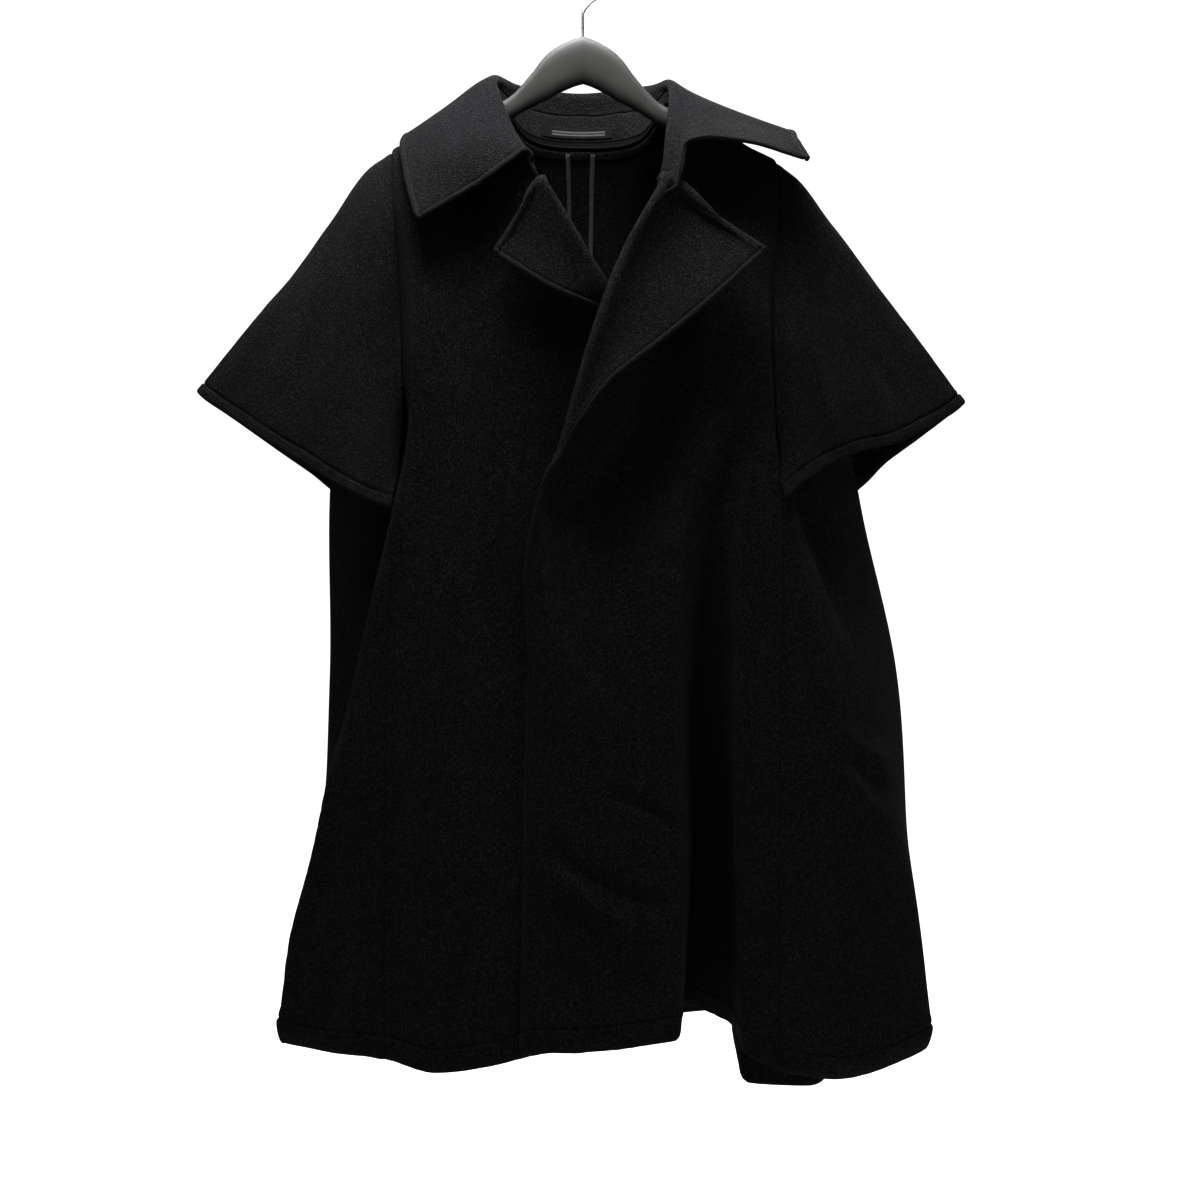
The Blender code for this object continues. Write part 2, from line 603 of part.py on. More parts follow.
ROUND_NECK = np.linspace(0.0, 8.0, 29)
STAND_ROWS = (0.0, 0.28, 0.62, 1.0)
FALL_ROWS = (1.0, 1.5, 2.0, 2.5, 3.0, 3.5, 4.0, 4.5, 5.0, 5.5, 6.0, 6.5, 7.0)
collar = collar_points(ROUND_NECK, np.array(STAND_ROWS + FALL_ROWS[1:]))
collar_normal = facing_in(collar[:, :len(STAND_ROWS) + 2])
seam_row = len(STAND_ROWS) - 1
stand = collar[:, :seam_row + 1]
stand_top = collar_normal[:, seam_row]
raised = clear_top(stand, np.interp(ROUND_NECK, *np.array(NECK_GAP).T))
cloth("collar_stand", trim(np.swapaxes(raised, 0, 1), last=SEAM), FELT, last_normal=stand_top)
cloth("collar_leaf", trim(np.swapaxes(collar[:, seam_row:], 0, 1), first=3 * SEAM), FELT,
      first_normal=stand_top)

TAPE = 1.0            # thickness of the neck tape and the seam bindings
LABEL_THICK = 0.7
HAIR = 0.35           # clearance under what lies on the cloth
on_cloth = CLOTH / 2 + HAIR + TAPE / 2
tape = on_grid(stand, collar_normal, np.arange(1.0, 28.0), [0.2, 1.0], on_cloth)
cloth("neck_tape", tape, SATIN, TAPE)
label = on_grid(stand, collar_normal, [11.6, 12, 13, 14, 15, 15.8], [1.12, 1.92],
                CLOTH / 2 + HAIR + LABEL_THICK / 2)
cloth("neck_label", label, LABEL, LABEL_THICK)
for side, names in (("left", ("left neck", "centre back")),
                    ("right", ("right neck", "centre back"))):
    across = np.linspace(LINE[names[1]], LINE[names[0]], 3)
    lining_side = body_points(across, BACK_DOWN)
    strip = on_grid(lining_side, facing_in(lining_side), BINDING_AT, np.arange(0.1, 24.0), on_cloth)
    cloth("seam_binding_" + side, strip, SATIN, TAPE)

# ---------------------------------------------------------------- hanger
HANGER_HALF = 213.0
HANGER_END = 13.0             # length over which each arm's end rounds off
HANGER_TOP = ((0, -78), (10, -81), (19, -85), (28, -90), (38, -98), (45, -106), (51, -114.5),
              (58, -123), (66, -132.8), (78, -143.9), (92, -151.9))
HANGER_HEIGHT = ((0, 49), (24, 49), (38, 47), (51, 37), (66, 27), (87, 22), (213, 19))
HANGER_DEPTH = ((0, 7), (60, 6.5), (95, 6.5), (130, 9), (213, 12))
UNDER_CLOTH = 2.8             # from the ridge's mid surface down to the arm
ARM_DROOP = ((92, 0.6), (110, 0.2), (160, 0.4), (190, 1.6), (213, 2.6))   # more of the same


def hanger():
    """Arms and hump in one moulded bar: an oval section carried along the width."""
    arm = np.array([92, 120, 160, HANGER_HALF - HANGER_END, HANGER_HALF - 6, HANGER_HALF - 2,
                    HANGER_HALF - 0.2])
    x = np.concatenate([-arm[::-1], np.linspace(-92, 92, 25)[1:-1], arm])
    far = np.abs(x)
    hump = smooth(*np.array(HANGER_TOP, float).T, far) - RIDGE_TILT * x
    droop = np.interp(far, *np.array(ARM_DROOP, float).T)
    top = np.where(far > NECK_POINT, ridge_height(x) - UNDER_CLOTH - droop, hump)
    height = smooth(*np.array(HANGER_HEIGHT, float).T, far)
    depth = smooth(*np.array(HANGER_DEPTH, float).T, far)
    over = np.clip((far - HANGER_HALF + HANGER_END) / HANGER_END, 0.0, 1.0)
    shrink = np.sqrt(1.0 - over ** 2)
    angle = np.linspace(0.0, 2.0 * np.pi, 14, endpoint=False)
    ring_y, ring_z = np.sin(angle), np.cos(angle)
    grid = np.empty((len(x), len(angle), 3))
    grid[..., 0] = x[:, None]
    grid[..., 1] = (depth * shrink)[:, None] * ring_y
    grid[..., 2] = (top - height / 2)[:, None] + (height / 2 * shrink)[:, None] * ring_z
    rings, sides = grid.shape[:2]
    index = np.arange(rings * sides).reshape(rings, sides)
    nxt = np.roll(index, -1, axis=1)
    faces = [list(f) for f in np.stack([index[:-1], nxt[:-1], nxt[1:], index[1:]],
                                       -1).reshape(-1, 4)]
    faces += [list(index[0][::-1]), list(index[-1])]
    return solid("hanger", grid.reshape(-1, 3) * MM, faces, PLASTIC)


hanger()

WIRE = 3.5                    # diameter of the hook's steel wire
HOOK_RADIUS = 22.0            # of the hook's centre line
HOOK_FOOT = -77.5


def hook():
    """The hook: a straight stem, a bend to the right, then round over the top."""
    centre = np.array([0.0, 0.0, WIRE / 2 - HOOK_RADIUS])
    angle = np.radians(np.linspace(-58.0, 205.0, 30))
    ring = centre + HOOK_RADIUS * np.stack([np.cos(angle), 0 * angle, np.sin(angle)], -1)
    stem = np.array([(0, 0, HOOK_FOOT), (0, 0, -66), (0, 0, -54)], float)
    t = np.linspace(0.0, 1.0, 6)[1:-1, None]
    leave = np.array([0.0, 0.0, 14.0])
    arrive = unit(ring[1] - ring[0]) * 14.0
    bend = (stem[-1] * (1 + 2 * t) * (1 - t) ** 2 + leave * t * (1 - t) ** 2
            + ring[0] * t ** 2 * (3 - 2 * t) + arrive * t ** 2 * (t - 1))
    curve = bpy.data.curves.new("hanger_hook", "CURVE")
    curve.dimensions = "3D"
    curve.bevel_depth = WIRE / 2 * MM
    curve.bevel_resolution = 2
    curve.use_fill_caps = True
    route = np.concatenate([stem, bend, ring]) * MM
    spline = curve.splines.new("POLY")
    spline.points.add(len(route) - 1)
    spline.points.foreach_set("co", np.c_[route, np.ones(len(route))].ravel())
    curve.materials.append(STEEL)
    made = bpy.data.objects.new("hanger_hook", curve)
    bpy.context.collection.objects.link(made)


hook()
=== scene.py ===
"""The shawl coat on its hanger, dressed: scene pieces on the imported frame.

Tables are in millimetres in the frame's axes, and MM turns them into metres.
"""

import bpy
import numpy as np
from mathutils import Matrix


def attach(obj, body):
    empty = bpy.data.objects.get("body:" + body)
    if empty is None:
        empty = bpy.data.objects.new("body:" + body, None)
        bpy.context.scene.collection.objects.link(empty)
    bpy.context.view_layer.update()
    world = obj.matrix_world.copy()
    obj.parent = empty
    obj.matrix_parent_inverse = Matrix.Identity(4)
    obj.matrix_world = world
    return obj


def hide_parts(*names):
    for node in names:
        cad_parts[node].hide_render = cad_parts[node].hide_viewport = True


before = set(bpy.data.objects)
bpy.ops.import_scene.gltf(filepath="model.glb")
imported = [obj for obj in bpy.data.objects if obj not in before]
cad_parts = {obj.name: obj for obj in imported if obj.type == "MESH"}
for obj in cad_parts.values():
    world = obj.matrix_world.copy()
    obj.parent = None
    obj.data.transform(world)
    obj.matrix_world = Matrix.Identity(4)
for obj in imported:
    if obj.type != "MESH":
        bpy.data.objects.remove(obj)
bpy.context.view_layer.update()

# ---- camera
# Level and square on to the coat's front, at the middle of the photo.  Its distance
# is assumed, and the width that it sees gives the scale.
AWAY = 1.8            # metres from the camera to the hanger's plane
FIELD = 1.26          # metres across the picture in that plane
MIDDLE = (0.01785, -0.669)
view = bpy.data.cameras.new("camera")
view.sensor_width = 36.0
view.lens = view.sensor_width * AWAY / FIELD
camera = bpy.data.objects.new("camera", view)
camera.location = (MIDDLE[0], -AWAY, MIDDLE[1])
camera.rotation_euler = (np.pi / 2, 0.0, 0.0)
bpy.context.collection.objects.link(camera)
bpy.context.scene.camera = camera

# ---- light
# A soft light close overhead and a weak one high behind the camera: the coat's top
# is lit and its front falls off to black.  Three more from behind show its back and
# its outline, and two low ones show its sides.
def area_light(name, place, target, size, power):
    """A square area light at a place, pointing at a target.

    It hangs facing down, is tilted by the angle whose tangent is its level
    distance over its drop, and is then turned about the upright to face it.
    """
    data = bpy.data.lights.new(name, "AREA")
    data.size = size
    data.energy = power
    lamp = bpy.data.objects.new(name, data)
    lamp.location = place
    aim = np.array(target, float) - np.array(place, float)
    flat = np.hypot(aim[0], aim[1])
    lamp.rotation_euler = (np.arctan2(flat, -aim[2]), 0.0, np.arctan2(-aim[0], aim[1]))
    bpy.context.collection.objects.link(lamp)


def give(tree, socket, value):
    """Links another node's output to a socket, or sets the socket to a plain value."""
    if isinstance(value, bpy.types.NodeSocket):
        tree.links.new(value, socket)
    else:
        socket.default_value = value


def feed(tree, node, **values):
    """Gives each value to the node's socket of that name."""
    for name, value in values.items():
        give(tree, node.inputs[name.replace("_", " ")], value)


area_light("overhead", (-0.08, -0.235, 0.52), (0.0, -0.06, -0.6), 0.62, 26.5)
area_light("behind camera", (0.1, -2.6, 0.9), (0.0, 0.0, -0.7), 1.4, 1.9)
area_light("back", (0.35, 1.9, 0.7), (0.0, 0.1, -0.6), 1.4, 45.0)
area_light("left", (1.5, 2.0, 0.5), (0.2, 0.0, -0.7), 1.2, 16.0)
area_light("left low", (1.9, -0.9, -1.4), (0.3, 0.0, -1.1), 0.9, 9.0)
area_light("right", (-1.2, 2.2, 0.5), (-0.2, 0.0, -0.7), 1.2, 12.0)
area_light("right low", (-1.9, -1.1, -1.6), (-0.3, 0.0, -1.12), 0.9, 5.0)
room = bpy.data.worlds.new("room")
room.use_nodes = True
tree = room.node_tree
dim = tree.nodes["Background"]
feed(tree, dim, Color=(1.0, 1.0, 1.0, 1.0), Strength=0.05)
white = tree.nodes.new("ShaderNodeBackground")
feed(tree, white, Color=(1.0, 1.0, 1.0, 1.0))
seen = tree.nodes.new("ShaderNodeLightPath")
either = tree.nodes.new("ShaderNodeMixShader")
for socket, value in zip(either.inputs, (seen.outputs["Is Camera Ray"],
                                         dim.outputs["Background"],
                                         white.outputs["Background"])):
    give(tree, socket, value)
feed(tree, tree.nodes["World Output"], Surface=either.outputs["Shader"])
bpy.context.scene.world = room
bpy.context.scene.view_settings.view_transform = "Standard"
bpy.context.scene.view_settings.look = "Medium High Contrast"

# ---- floor
# A plain pale floor 0.45 m below the hem.  To the camera it glows whiter with
# distance, until it meets the white room.  It isn't part of the object.
MM = 0.001
FLOOR = -1640.0
REACH = 30000.0


def put(name, points, faces, material):
    """A mesh object from points in millimetres and arrays of faces, facing out.

    The sum of (b x c) . a over the faces' triangles is six times the volume they
    enclose.  Where it is below nothing, every face is turned round.
    """
    corners = np.concatenate([f.ravel() for f in faces]).astype(np.int32)
    sizes = np.concatenate([np.full(len(f), f.shape[1]) for f in faces])
    volume = sum(np.sum(np.cross(points[f[:, k]], points[f[:, k + 1]]) * points[f[:, 0]])
                 for f in faces for k in range(1, f.shape[1] - 1))
    if volume < 0:
        corners = np.concatenate([f[:, ::-1].ravel() for f in faces]).astype(np.int32)
    mesh = bpy.data.meshes.new(name)
    mesh.vertices.add(len(points))
    mesh.vertices.foreach_set("co", (points * MM).ravel())
    mesh.loops.add(len(corners))
    mesh.polygons.add(len(sizes))
    mesh.loops.foreach_set("vertex_index", corners)
    mesh.polygons.foreach_set("loop_start", np.concatenate([[0], np.cumsum(sizes)[:-1]]))
    mesh.update(calc_edges=True)
    mesh.validate()
    mesh.shade_smooth()
    mesh.materials.append(material)
    made = bpy.data.objects.new(name, mesh)
    bpy.context.collection.objects.link(made)
    return made


def finish(name, colour, roughness, **sockets):
    """A Principled material; returns it with its node tree and shader."""
    material = bpy.data.materials.new(name)
    material.use_nodes = True
    tree = material.node_tree
    shader = tree.nodes["Principled BSDF"]
    shader.inputs["Base Color"].default_value = (*colour, 1.0)
    shader.inputs["Roughness"].default_value = roughness
    feed(tree, shader, **sockets)
    return material, tree, shader


def maths(tree, operation, first, second=0.0):
    """A maths node on one or two sockets or numbers."""
    node = tree.nodes.new("ShaderNodeMath")
    node.operation = operation
    for socket, value in zip(node.inputs, (first, second)):
        give(tree, socket, value)
    return node.outputs["Value"]


pale, tree, shader = finish("pale floor", (0.7, 0.7, 0.7), 0.9)
place = tree.nodes.new("ShaderNodeTexCoord")
distance = tree.nodes.new("ShaderNodeVectorMath")
distance.operation = "LENGTH"
glow = tree.nodes.new("ShaderNodeMapRange")
glow.interpolation_type = "SMOOTHSTEP"
seen = tree.nodes.new("ShaderNodeLightPath")
give(tree, distance.inputs[0], place.outputs["Object"])
feed(tree, glow, Value=distance.outputs["Value"], From_Min=0.8, From_Max=4.0,
     To_Min=0.55, To_Max=1.0)
fade = maths(tree, "MULTIPLY", glow.outputs["Result"], seen.outputs["Is Camera Ray"])
feed(tree, shader, Emission_Color=fade, Emission_Strength=1.0)
floor = put("floor", np.array([(-REACH, -REACH, FLOOR), (REACH, -REACH, FLOOR),
                               (REACH, REACH, FLOOR), (-REACH, REACH, FLOOR)]),
            [np.array([[0, 1, 2, 3]])], pale)

# ---- hanger
# One moulded bar, its hump thinned to a board with rounded rims: matt dark grey
# plastic with a fine grain and a faint parting line.  The coat hangs on its arms.
NECK_POINT = 92.0     # x of the neck points, where the shoulder ridge starts
RIDGE_TOP = -148.5
RIDGE_SLOPE = 0.535
RIDGE_TILT = 0.026    # the coat hangs lower on the wearer's left
HANGER_HALF = 213.0
HANGER_END = 13.0     # length of each rounded end
# By distance from the middle: the hump's top edge, and the bar's height, its half
# depth and how far it droops below the cloth it carries.
HANGER_TOP = ((0, -78), (10, -81), (19, -85), (28, -90), (38, -98), (45, -106), (51, -114.5),
              (58, -123), (66, -132.8), (78, -143.9), (92, -151.9))
HANGER_HEIGHT = ((0, 49), (24, 49), (38, 47), (51, 37), (66, 27), (87, 22), (213, 19))
HANGER_DEPTH = ((0, 7), (60, 6.5), (95, 6.5), (130, 9), (213, 12))
ARM_DROOP = ((92, 0.6), (110, 0.2), (160, 0.4), (190, 1.6), (213, 2.6))
UNDER_CLOTH = 2.8     # from the ridge's middle surface to the bar
PARTING = 0.25        # height of the mould's parting line


def cubic(t, start, leave, end, arrive):
    """Start (1 + 2t)(1 - t)^2 + leave t (1 - t)^2 + end t^2 (3 - 2t) + arrive t^2 (t - 1):
    a curve from start at t = 0 to end at 1, with a direction given at each."""
    return (start * (1 + 2 * t) * (1 - t) ** 2 + leave * t * (1 - t) ** 2
            + end * t ** 2 * (3 - 2 * t) + arrive * t ** 2 * (t - 1))


def smooth(knots, values, at, monotone=False):
    """Cubics through values at knots; monotone keeps them from overshooting.

    A knot's direction is the mean of the slopes beside it, each weighted by the gap
    on the other side.  Where monotone it is their harmonic mean, and 0 where they
    differ in sign.
    """
    knots = np.asarray(knots, float)
    values = np.asarray(values, float)
    at = np.clip(np.asarray(at, float), knots[0], knots[-1])
    column = (slice(None),) + (None,) * (values.ndim - 1)
    step = np.diff(knots)[column]
    slope = np.diff(values, axis=0) / step
    tangent = np.empty_like(values)
    tangent[0], tangent[-1] = slope[0], slope[-1]
    before, after = slope[:-1], slope[1:]
    if monotone:
        same = before * after > 0
        total = np.where(same, before + after, 1.0)
        tangent[1:-1] = np.where(same, 2.0 * before * after / total, 0.0)
    else:
        tangent[1:-1] = (before * step[1:] + after * step[:-1]) / (step[1:] + step[:-1])
    cell = np.clip(np.searchsorted(knots, at, side="right") - 1, 0, len(knots) - 2)
    width = step[cell]
    t = ((at - knots[cell])[column]) / width
    return cubic(t, values[cell], tangent[cell] * width, values[cell + 1],
                 tangent[cell + 1] * width)


def ridge_height(x):
    """Height of the shoulder ridge: its top, less the slope times the distance
    beyond the neck point, less the tilt times x."""
    return RIDGE_TOP - RIDGE_SLOPE * (np.abs(x) - NECK_POINT) - RIDGE_TILT * x


def ring_faces(rings, sides):
    """Quads of a tube of rings, each point joined to the next in its ring and to
    the same two of the next ring, and its two end caps."""
    index = np.arange(rings * sides).reshape(rings, sides)
    following = np.roll(index, -1, axis=1)
    quads = np.stack([index[:-1], following[:-1], following[1:], index[1:]], -1).reshape(-1, 4)
    return [quads, index[:1, ::-1], index[-1:]]


def noise(tree, scale, detail, stretch=(1.0, 1.0, 1.0), rough=0.6, distortion=0.0):
    """A noise texture in the object's own coordinates, each times its stretch."""
    place = tree.nodes.new("ShaderNodeTexCoord")
    mapping = tree.nodes.new("ShaderNodeMapping")
    texture = tree.nodes.new("ShaderNodeTexNoise")
    feed(tree, mapping, Vector=place.outputs["Object"], Scale=stretch)
    feed(tree, texture, Vector=mapping.outputs["Vector"], Scale=scale, Detail=detail,
         Roughness=rough, Distortion=distortion)
    return texture.outputs["Fac"]


def ramp(tree, value, stops):
    """A colour ramp over a value; stops are (place, colour or grey)."""
    node = tree.nodes.new("ShaderNodeValToRGB")
    stops = [(at, c if isinstance(c, tuple) else (c, c, c)) for at, c in stops]
    while len(node.color_ramp.elements) < len(stops):
        node.color_ramp.elements.new(0.5)
    for element, (at, colour) in zip(node.color_ramp.elements, stops):
        element.position = at
        element.color = (*colour, 1.0)
    feed(tree, node, Fac=value)
    return node.outputs["Color"]


def bump(tree, height, distance):
    """A normal from a height, whose full range is a distance in metres."""
    node = tree.nodes.new("ShaderNodeBump")
    feed(tree, node, Height=height, Distance=distance)
    return node.outputs["Normal"]


plastic, tree, shader = finish("hanger plastic", (0.05, 0.048, 0.045), 0.5)
grain = noise(tree, 2600.0, 3.0)
cloud = noise(tree, 22.0, 4.0)
feed(tree, shader,
     Base_Color=ramp(tree, cloud, ((0.3, (0.0185, 0.0178, 0.0165)),
                                   (0.7, (0.0235, 0.0226, 0.021)))),
     Roughness=ramp(tree, cloud, ((0.25, 0.44), (0.75, 0.56))),
     Normal=bump(tree, grain, 0.00012))

far_ends = np.array([HANGER_END * s for s in (1.0, 0.8, 0.6, 0.42, 0.27, 0.15, 0.07, 0.02, 0.004)])
arm = np.concatenate([np.linspace(NECK_POINT, HANGER_HALF - HANGER_END, 40),
                      HANGER_HALF - far_ends[1:]])
x = np.concatenate([-arm[::-1], np.linspace(-NECK_POINT, NECK_POINT, 121)[1:-1], arm])
far = np.abs(x)
hump = smooth(*np.array(HANGER_TOP, float).T, far) - RIDGE_TILT * x
droop = np.interp(far, *np.array(ARM_DROOP, float).T)
top = np.where(far > NECK_POINT, ridge_height(x) - UNDER_CLOTH - droop, hump)
height = smooth(*np.array(HANGER_HEIGHT, float).T, far)
depth = smooth(*np.array(HANGER_DEPTH, float).T, far)
over = np.clip((far - HANGER_HALF + HANGER_END) / HANGER_END, 0.0, 1.0)
shrink = np.sqrt(1.0 - over ** 2)[:, None]
angle = np.linspace(0.0, 2.0 * np.pi, 48, endpoint=False)
board = np.interp(far, (60, 130), (0.62, 1.0))[:, None]      # 1 is an oval section
ring_y = np.sign(np.sin(angle)) * np.abs(np.sin(angle)) ** board
ring_z = np.sign(np.cos(angle)) * np.abs(np.cos(angle)) ** board
parting = PARTING * np.exp(-(np.sin(angle) / 0.12) ** 2) * np.sign(np.cos(angle))
grid = np.stack([np.broadcast_to(x[:, None], ring_y.shape),
                 depth[:, None] * shrink * ring_y,
                 (top - height / 2)[:, None] + shrink * (height[:, None] / 2 * ring_z + parting)],
                -1)
hanger = put("hanger_bar", grid.reshape(-1, 3), ring_faces(*grid.shape[:2]), plastic)
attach(hanger, "root")
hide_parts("hanger")

# ---- hook
# Bright steel wire, 3.5 mm, let into the hump: a straight stem, a bend to the
# wearer's left and a turn over the rail, with a rounded tip.
WIRE = 3.5
HOOK_RADIUS = 22.0            # of the wire's middle, round the rail
HOOK_FOOT = -82.0
STEM_TOP = -54.0
HOOK_TURN = (-58.0, 205.0)    # degrees round the rail
BEND_PULL = 14.0              # how stiffly the bend leaves the stem and the turn


def unit(vectors):
    """Vectors of length one: each over its own length."""
    length = np.linalg.norm(vectors, axis=-1, keepdims=True)
    return vectors / np.maximum(length, 1e-9)


def tube(path, across, radius, sides):
    """Rings of points round a path; across is a direction square to it.

    A ring is the path's point + radius (cos a across + sin a other), a going once
    round, where other is square to both the path and across.
    """
    along = unit(np.gradient(path, axis=0))
    other = unit(np.cross(along, across))
    across = np.cross(other, along)
    angle = np.linspace(0.0, 2.0 * np.pi, sides, endpoint=False)[None, :, None]
    radius = np.broadcast_to(radius, len(path))[:, None, None]
    return path[:, None] + radius * (np.cos(angle) * across[:, None]
                                     + np.sin(angle) * other[:, None])


steel, tree, shader = finish("hook steel", (0.62, 0.62, 0.63), 0.3, Metallic=1.0)
streak = noise(tree, 900.0, 4.0, (1.0, 1.0, 0.12))
feed(tree, shader,
     Base_Color=ramp(tree, streak, ((0.3, (0.52, 0.52, 0.53)), (0.7, (0.7, 0.7, 0.71)))),
     Roughness=ramp(tree, streak, ((0.3, 0.24), (0.7, 0.38))),
     Normal=bump(tree, streak, 0.00003))

centre = np.array([0.0, 0.0, WIRE / 2 - HOOK_RADIUS])
angle = np.radians(np.linspace(*HOOK_TURN, 120))
turn = centre + HOOK_RADIUS * np.stack([np.cos(angle), 0 * angle, np.sin(angle)], -1)
stem = np.stack([np.zeros(12), np.zeros(12), np.linspace(HOOK_FOOT, STEM_TOP, 12)], -1)
t = np.linspace(0.0, 1.0, 22)[1:-1, None]
leave = np.array([0.0, 0.0, BEND_PULL])
arrive = unit(turn[1] - turn[0]) * BEND_PULL
bend = cubic(t, stem[-1], leave, turn[0], arrive)
path = np.concatenate([stem, bend, turn])
tip = unit(path[-1] - path[-2]) * WIRE / 2
cap = np.sin(np.linspace(0.0, np.pi / 2, 7))[1:]
path = np.concatenate([path, path[-1] + tip * cap[:, None]])
radius = np.full(len(path), WIRE / 2)
radius[-6:] = WIRE / 2 * np.sqrt(np.clip(1.0 - cap ** 2, 0.002, 1.0))
rings = tube(path, np.array([[0.0, 1.0, 0.0]]), radius, 24)
hook = put("hook_wire", rings.reshape(-1, 3), ring_faces(*rings.shape[:2]), steel)
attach(hook, "root")
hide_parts("hanger_hook")

# ---- fronts
# Two fronts of felted boiled wool 2.6 mm thick, each in one piece with its lapel,
# which turns out on the hinge.  Free edges are rolled and stitched, and hems turned
# up and stitched.  The left front laps over the right one.
CLOTH = 2.6
SEAM_OVER = 0.5       # how far a wall runs past its seam line, into its neighbour
# Distances down a body line at its ten knots, and heights of the third to the ninth.
DOWN = np.array([0.0, 25.0, 75.0, 130.0, 186.0, 280.0, 383.0, 560.0, 750.0, 945.0])
HEIGHTS = (-260.0, -315.0, -371.0, -465.0, -568.0, -745.0, -935.0)
# The second knot's depth and drop where cloth rounds the ridge and the neck points,
# and how far it stands aside, by collar station.
RIDGE_ROUND = (15.0, 5.0)
NECK_ROUND = (16.0, 9.0)
NECK_FLARE = ((0.0, 0.0), (1.0, -3.0), (1.6, -9.0), (2.0, -3.0), (2.4, 0.0),
              (5.6, 0.0), (6.0, 3.0), (6.4, 9.0), (7.0, 3.0), (8.0, 0.0))
OVER_HANGER = (("neck", 2.0), ("neck", 6.0))    # neck points, where the arms pass under
LAPEL_STEADY = 136.7  # above this distance down, the lapel's roll keeps one direction
CELLS = 36            # cells between two body lines
RIM_GROOVE = 8        # the row of RIM, and of SLEEVE_HEM, that is stitched
HEM_GROOVE = 10       # and that of HEM
HEM_WIDTH = 25.0
HEM_ROLL = ((200, 280), (1.8, 10.0))    # how far it rolls in, by distance from the middle
RIM_PUCKER = 0.28
HEM_PUCKER = 0.6
FOLD_REACH = 14.0     # how far the side folds run on into a sleeve
STITCH = 4.0          # length of a stitch
THREAD = 0.27         # radius of the thread
# The collar, a row for each station round the neck from the right front's end
# to the left front's: neck seam, roll, shoulder of the fall, middle, outer edge.
COLLAR = {
    "right end":   ((-43, -84, -249), (-54, -88, -221), (-78, -96, -238),
                    (-106, -99, -259), (-165, -97, -293)),
    "right front": ((-68, -58, -209), (-71, -60, -190), (-97, -70, -196),
                    (-128, -74, -211), (-183, -52, -232)),
    "right side":  ((-92, -2, -144.7), (-93, 4, -120), (-116, 6, -129),
                    (-142, 5, -149), (-187, 4, -181)),
    "right back":  ((-60, 46, -177), (-66, 56, -114), (-84, 70, -120),
                    (-106, 77, -142), (-132, 84, -180)),
    "centre back": ((-4, 62, -183), (-3, 73, -117), (-2, 84, -122),
                    (-1, 87, -148), (0, 86, -198)),
    "left back":   ((60, 46, -179), (69, 56, -114), (88, 70, -119),
                    (112, 76, -138), (138, 84, -175)),
    "left side":   ((92, -2, -149.5), (91, 2, -126), (116, 6, -136),
                    (152, 8, -151), (214, 9, -176)),
    "left front":  ((86, -58, -209), (87, -62, -190), (120, -58, -181),
                    (160, -46, -183), (223, -34, -196)),
    "left end":    ((83, -88, -249), (82, -93, -229), (118, -95, -210),
                    (168, -91, -213), (230, -79, -228)),
}
